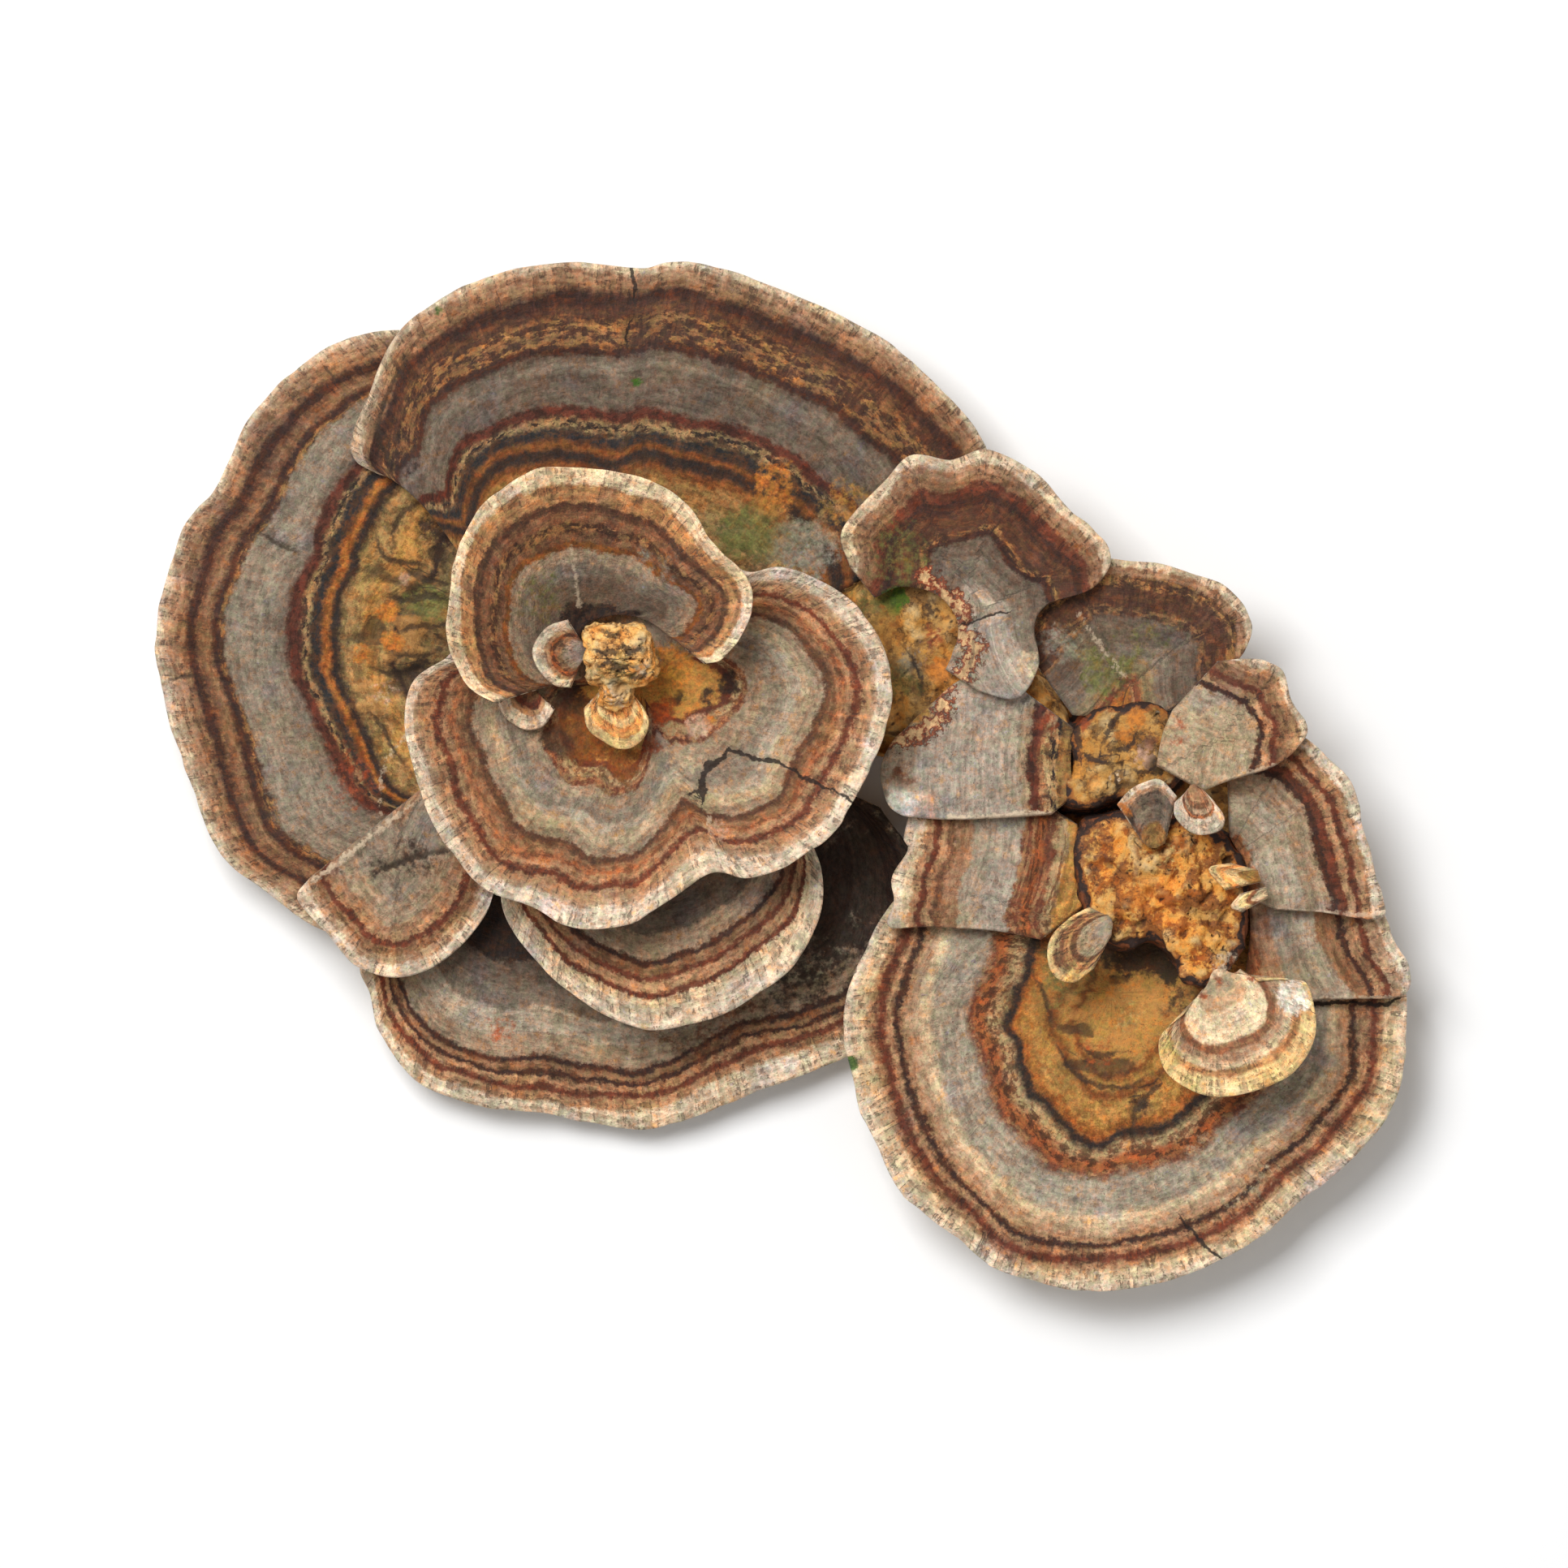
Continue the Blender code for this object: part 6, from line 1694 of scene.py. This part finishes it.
def gnarled(piece, seed, lump, fine, pit_depth, stains_and_shade=(), hollows=(), outline=None, creased=0.11, folds=(),
            sunk=0.6):
    """Lumps, wrinkles and creases over the piece's skin, with how deep they are kept for its colour:
    painted shade in the pits and creases, and a painted highlight on the crests.

    lump and fine are (size, height) of the lumps and the wrinkles. outline is where they flatten.
    """
    mesh = piece.data
    count = len(mesh.vertices)
    flat = np.empty(count * 3)
    normal = np.empty(count * 3)
    mesh.vertices.foreach_get("co", flat)
    mesh.vertices.foreach_get("normal", normal)
    points = flat.reshape(-1, 3) / MM
    normal = normal.reshape(-1, 3)
    (size, height), (fine_size, fine_height) = lump, fine
    swell = rough(points, size, seed)
    bulge = rough(points, size * 0.45, seed + 1)
    wrinkle = rough(points, fine_size, seed + 2)
    furrow = rough(points * np.array([1.0, 1.6, 1.0]), size * 0.4, seed + 3)
    crease = eased(1 - np.abs(furrow + 0.35 * wrinkle) / creased) * eased(0.75 + 2.2 * bulge)
    pit = np.maximum(0.85 * crease, sunk * eased((-bulge - 0.3) / 0.25))
    # Each hollow is sunk and marked as a pit, which is painted shade
    for x, y, radius in hollows:
        away = np.hypot(points[:, 0] - x, points[:, 1] - y) / radius + 0.5 * bulge + 0.3 * wrinkle
        near = eased(1.3 - away)
        pit = np.maximum(pit, near)
        points = points - np.array([0, 0, HOLLOW_DEPTH]) * near[:, None]
    lift = height * swell + 0.5 * height * bulge + fine_height * wrinkle - pit_depth * pit
    away = np.full(count, FAR)
    if outline:
        away = from_line(points[:, :2], outline + outline[:1])[0] + 0.7 * bulge + 0.4 * wrinkle
        lift = lift * (0.35 + 0.65 * eased(away / 4))
    points = points + normal * lift[:, None]
    mesh.vertices.foreach_set("co", (points * MM).ravel())
    plan = points[:, :2]
    fold, fold_width = crack_values(folds, plan)
    # pit carries the painted shade of creases and hollows, and crest the painted highlight of the lumps'
    # tops
    paint(piece, fold=fold, fold_width=fold_width, pit=pit, contour=away,
          crest=eased((0.6 * swell + bulge + 0.5 * wrinkle - 0.12) / 0.5),
          stain=stain_and_shade_values(stains_and_shade, plan, seed))
    make_active(piece)
    bpy.ops.object.shade_smooth()


def cut_flat(piece):
    """Takes off all that lies under the cut and closes it."""
    make_active(piece)
    bpy.ops.object.mode_set(mode="EDIT")
    bpy.ops.mesh.select_all(action="SELECT")
    bpy.ops.mesh.bisect(plane_co=(0, 0, 0), plane_no=(0, 0, 1), use_fill=True, clear_inner=True)
    bpy.ops.object.mode_set(mode="OBJECT")


def build_base(look):
    """The tissue that joins both rosettes: slab, patch and crown grown together, cut off flat."""
    base = joined([
        mound("base_detailed", SLAB_OUTLINE, -2.0, 5.0),
        mound("patch", PATCH_OUTLINE, -2.4, 13.1),
        mound("crown", CROWN_OUTLINE, -2.8, 16.6, CROWN_ROWS),
    ])
    applied(base, "REMESH", mode="VOXEL", voxel_size=look.base_grain)
    gnarled(base, 11, (3.2, 1.0), (1.0, 0.22), 0.5 * look.pit_depth, stains_and_shade=BASE_STAINS_AND_SHADE,
            hollows=BASE_HOLLOWS, outline=CROWN_OUTLINE, creased=0.05, folds=BASE_FOLDS, sunk=0.2)
    cut_flat(base)
    settle(base, "base",
           tissue_material("ochre_base", look.ochre_light, look.ochre_middle, look.ochre_deep, grit=0.2))
    return base


def build_centre_tissue(look):
    """The bright lumps between the caps of the right rosette."""
    piece = mound("centre_tissue_detailed", TISSUE_OUTLINE, 9.1, 17.9)
    applied(piece, "REMESH", mode="VOXEL", voxel_size=look.lump_grain)
    gnarled(piece, 23, (3.6, 1.5), (1.0, 0.5), look.pit_depth, stains_and_shade=TISSUE_STAINS,
            hollows=TISSUE_HOLLOWS, outline=TISSUE_OUTLINE)
    settle(piece, "centre_tissue",
           tissue_material("ochre_lumps", (230, 172, 92), (156, 94, 44), (56, 34, 22)))
    return piece


def build_knob(look):
    """The gnarly cream knob in the middle of the left rosette."""
    piece = joined([
        mound("knob_detailed", KNOB_OUTLINE, 19.3, 30.6, KNOB_ROWS),
        mound("knob_neck", NECK_OUTLINE, 21.0, 28.0, KNOB_ROWS),
    ])
    applied(piece, "REMESH", mode="VOXEL", voxel_size=look.knob_grain)
    gnarled(piece, 41, (2.6, 0.55), (0.8, 0.25), look.pit_depth, stains_and_shade=KNOB_STAINS, creased=0.16,
            folds=KNOB_FOLDS)
    settle(piece, "knob",
           tissue_material("cream_knob", (250, 208, 142), (214, 156, 92), (70, 38, 24), grit=0.35))
    return piece


# The studio


def studio_material(shade):
    """A pale floor with hardly any mottling."""
    material, tree, shader = new_material("pale_floor")
    place = tree.node("ShaderNodeTexCoord").outputs["Object"]
    tone = tree.smooth(tree.noise(place, 4.0, 2.0), 0.3, 0.7, 0.985 * shade, shade)
    tree.put(shader.inputs["Base Color"], tree.grey(tone))
    shader.inputs["Roughness"].default_value = 0.9
    return material


def build_studio(look):
    """A pale floor, soft light from the upper left, and the camera straight above."""
    deselect_all()
    bpy.ops.mesh.primitive_plane_add(size=look.floor_size, location=(0, 0, 0))
    floor = bpy.context.active_object
    floor.name = "floor"
    floor.data.materials.append(studio_material(look.floor_shade))

    world = bpy.context.scene.world or bpy.data.worlds.new("soft_room")
    bpy.context.scene.world = world
    world.use_nodes = True
    sky = world.node_tree.nodes["Background"]
    sky.inputs["Color"].default_value = (1.0, 1.0, 1.0, 1.0)
    sky.inputs["Strength"].default_value = look.fill_strength

    bpy.ops.object.light_add(type="AREA", location=KEY_PLACE)
    key = bpy.context.active_object
    key.name = "key_light"
    key.data.size = look.key_size
    key.data.energy = look.key_power
    key.rotation_euler = (-Vector(KEY_PLACE)).to_track_quat("-Z", "Y").to_euler()

    centre_x, centre_y = VIEW_MIDDLE
    height = VIEW_LEVEL * MM + look.camera_distance
    bpy.ops.object.camera_add(location=(centre_x * MM, centre_y * MM, height), rotation=(0, 0, 0))
    camera = bpy.context.active_object
    camera.name = "camera"
    camera.data.sensor_width = 36
    camera.data.lens = 36 * look.camera_distance / (VIEW_WIDTH * MM)
    camera.data.clip_end = 20
    bpy.context.scene.camera = camera
    bpy.context.scene.view_settings.view_transform = "Standard"


# The add-on


class TURKEYTAIL_PG_caps(bpy.types.PropertyGroup):
    """Mesh spacing and relief of the caps"""

    column_step: FloatProperty(
        name="Column step", description="Spacing of a cap's mesh along its margin, in millimetres",
        default=0.5, min=0.2, max=3.0)
    row_step: FloatProperty(
        name="Row step", description="Spacing of a cap's mesh from root to rim, in millimetres",
        default=0.6, min=0.2, max=3.0)
    ring_relief: FloatProperty(
        name="Ring relief", description="Height of the growth rings, in millimetres",
        default=0.14, min=0.0, max=1.0)
    fold_relief: FloatProperty(
        name="Fold relief", description="Height of the soft folds near the rim, in millimetres",
        default=0.5, min=0.0, max=2.0)
    lump_relief: FloatProperty(
        name="Lump relief", description="Height of the skin's small lumps, in millimetres",
        default=0.1, min=0.0, max=1.0)
    pleat_relief: FloatProperty(
        name="Pleat relief", description="Height of the radial pleats near the rim, in millimetres",
        default=0.16, min=0.0, max=1.0)
    rim_ragged: FloatProperty(
        name="Rim raggedness", description="How far the rim wanders in plan, in millimetres",
        default=0.35, min=0.0, max=2.0)


class TURKEYTAIL_PG_tissue(bpy.types.PropertyGroup):
    """Mesh size, pits and colours of the tissue"""

    base_grain: FloatProperty(
        name="Base grain", description="Mesh size of the joining tissue", default=0.0006,
        min=0.0003, max=0.01, subtype="DISTANCE", unit="LENGTH")
    lump_grain: FloatProperty(
        name="Lump grain", description="Mesh size of the centre's lumps", default=0.00035,
        min=0.0002, max=0.01, subtype="DISTANCE", unit="LENGTH")
    knob_grain: FloatProperty(
        name="Knob grain", description="Mesh size of the knob", default=0.00025,
        min=0.0002, max=0.01, subtype="DISTANCE", unit="LENGTH")
    pit_depth: FloatProperty(
        name="Pit depth", description="Depth of the pits between the lumps, in millimetres",
        default=0.9, min=0.0, max=3.0)
    ochre_light: IntVectorProperty(
        name="Light ochre", description="8-bit colour of the tissue's lumps",
        default=(196, 148, 82), min=0, max=255)
    ochre_middle: IntVectorProperty(
        name="Middle ochre", description="8-bit colour between the lumps",
        default=(138, 98, 52), min=0, max=255)
    # The deep ochre is painted shade in the pits and creases, and also the colour of dark veins and specks
    ochre_deep: IntVectorProperty(
        name="Deep ochre", description="8-bit colour of the tissue's pits",
        default=(40, 24, 14), min=0, max=255)


class TURKEYTAIL_PG_studio(bpy.types.PropertyGroup):
    """Floor, light and camera"""

    floor_size: FloatProperty(
        name="Floor size", description="Side of the floor",
        default=6.0, min=1.0, subtype="DISTANCE", unit="LENGTH")
    floor_shade: FloatProperty(
        name="Floor shade", description="How pale the floor is",
        default=0.93, min=0.0, max=1.0, subtype="FACTOR")
    fill_strength: FloatProperty(
        name="Fill strength", description="Brightness of the even light from all round",
        default=0.40, min=0.0)
    key_size: FloatProperty(
        name="Key size", description="Side of the soft light",
        default=0.8, min=0.05, subtype="DISTANCE", unit="LENGTH")
    key_power: FloatProperty(
        name="Key power", description="Power of the soft light",
        default=26, min=0.0, subtype="POWER", unit="POWER")
    camera_distance: FloatProperty(
        name="Camera distance", description="Distance of the camera above the caps", default=3.0,
        min=0.5, subtype="DISTANCE", unit="LENGTH")


def grow(caps, look):
    """Builds these caps, one after the other."""
    for cap in caps:
        build_cap(cap, look)


class TURKEYTAIL_OT_left_caps(bpy.types.Operator):
    """Grow the large caps of the left rosette"""

    bl_idname = "turkey_tail.left_caps"
    bl_label = "Left rosette"
    bl_options = {"REGISTER", "UNDO"}

    def execute(self, context):
        grow([cap for cap in LEFT_CAPS if not cap.small], context.scene.turkey_tail_caps)
        return {"FINISHED"}


class TURKEYTAIL_OT_right_caps(bpy.types.Operator):
    """Grow the large caps of the right rosette"""

    bl_idname = "turkey_tail.right_caps"
    bl_label = "Right rosette"
    bl_options = {"REGISTER", "UNDO"}

    def execute(self, context):
        grow([cap for cap in RIGHT_CAPS if not cap.small], context.scene.turkey_tail_caps)
        return {"FINISHED"}


class TURKEYTAIL_OT_small_caps(bpy.types.Operator):
    """Grow the small caps and lobes of both rosettes"""

    bl_idname = "turkey_tail.small_caps"
    bl_label = "Small caps"
    bl_options = {"REGISTER", "UNDO"}

    def execute(self, context):
        grow([cap for cap in LEFT_CAPS + RIGHT_CAPS if cap.small], context.scene.turkey_tail_caps)
        return {"FINISHED"}


class TURKEYTAIL_OT_tissue(bpy.types.Operator):
    """Grow the joining tissue and the lumpy centre"""

    bl_idname = "turkey_tail.tissue"
    bl_label = "Joining tissue"
    bl_options = {"REGISTER", "UNDO"}

    def execute(self, context):
        build_base(context.scene.turkey_tail_tissue)
        build_centre_tissue(context.scene.turkey_tail_tissue)
        return {"FINISHED"}


class TURKEYTAIL_OT_knob(bpy.types.Operator):
    """Grow the gnarly knob of the left rosette"""

    bl_idname = "turkey_tail.knob"
    bl_label = "Knob"
    bl_options = {"REGISTER", "UNDO"}

    def execute(self, context):
        build_knob(context.scene.turkey_tail_tissue)
        return {"FINISHED"}


class TURKEYTAIL_OT_studio(bpy.types.Operator):
    """Set up the floor, the light and the camera"""

    bl_idname = "turkey_tail.studio"
    bl_label = "Studio"
    bl_options = {"REGISTER", "UNDO"}

    def execute(self, context):
        build_studio(context.scene.turkey_tail_studio)
        return {"FINISHED"}


class TURKEYTAIL_PT_panel(bpy.types.Panel):
    """The settings of each group, and its operators"""

    bl_idname = "TURKEYTAIL_PT_panel"
    bl_label = "Turkey tail"
    bl_space_type = "VIEW_3D"
    bl_region_type = "UI"
    bl_category = "Turkey tail"

    def draw(self, context):
        for group, operators in STEPS:
            box = self.layout.box()
            settings = getattr(context.scene, group)
            for name in settings.__annotations__:
                box.prop(settings, name)
            for operator in operators:
                box.operator(operator.bl_idname)


STEPS = (
    ("turkey_tail_studio", (TURKEYTAIL_OT_studio,)),
    ("turkey_tail_tissue", (TURKEYTAIL_OT_tissue, TURKEYTAIL_OT_knob)),
    ("turkey_tail_caps", (TURKEYTAIL_OT_left_caps, TURKEYTAIL_OT_right_caps, TURKEYTAIL_OT_small_caps)),
)
GROUPS = {
    "turkey_tail_caps": TURKEYTAIL_PG_caps,
    "turkey_tail_tissue": TURKEYTAIL_PG_tissue,
    "turkey_tail_studio": TURKEYTAIL_PG_studio,
}


def classes():
    """All classes, in the order in which they are registered."""
    operators = [kind for _, group in STEPS for kind in group]
    return list(GROUPS.values()) + operators + [TURKEYTAIL_PT_panel]


def register():
    """Registers the classes and gives each scene their settings."""
    for kind in classes():
        bpy.utils.register_class(kind)
    for name, kind in GROUPS.items():
        setattr(bpy.types.Scene, name, PointerProperty(type=kind))


def unregister():
    """Takes out what register put in."""
    for name in GROUPS:
        delattr(bpy.types.Scene, name)
    for kind in reversed(classes()):
        bpy.utils.unregister_class(kind)


def main():
    """Registers the add-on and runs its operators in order."""
    register()
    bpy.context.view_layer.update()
    bpy.ops.turkey_tail.studio()
    bpy.ops.turkey_tail.tissue()
    bpy.ops.turkey_tail.knob()
    bpy.ops.turkey_tail.left_caps()
    bpy.ops.turkey_tail.right_caps()
    bpy.ops.turkey_tail.small_caps()


if __name__ == "__main__":
    main()
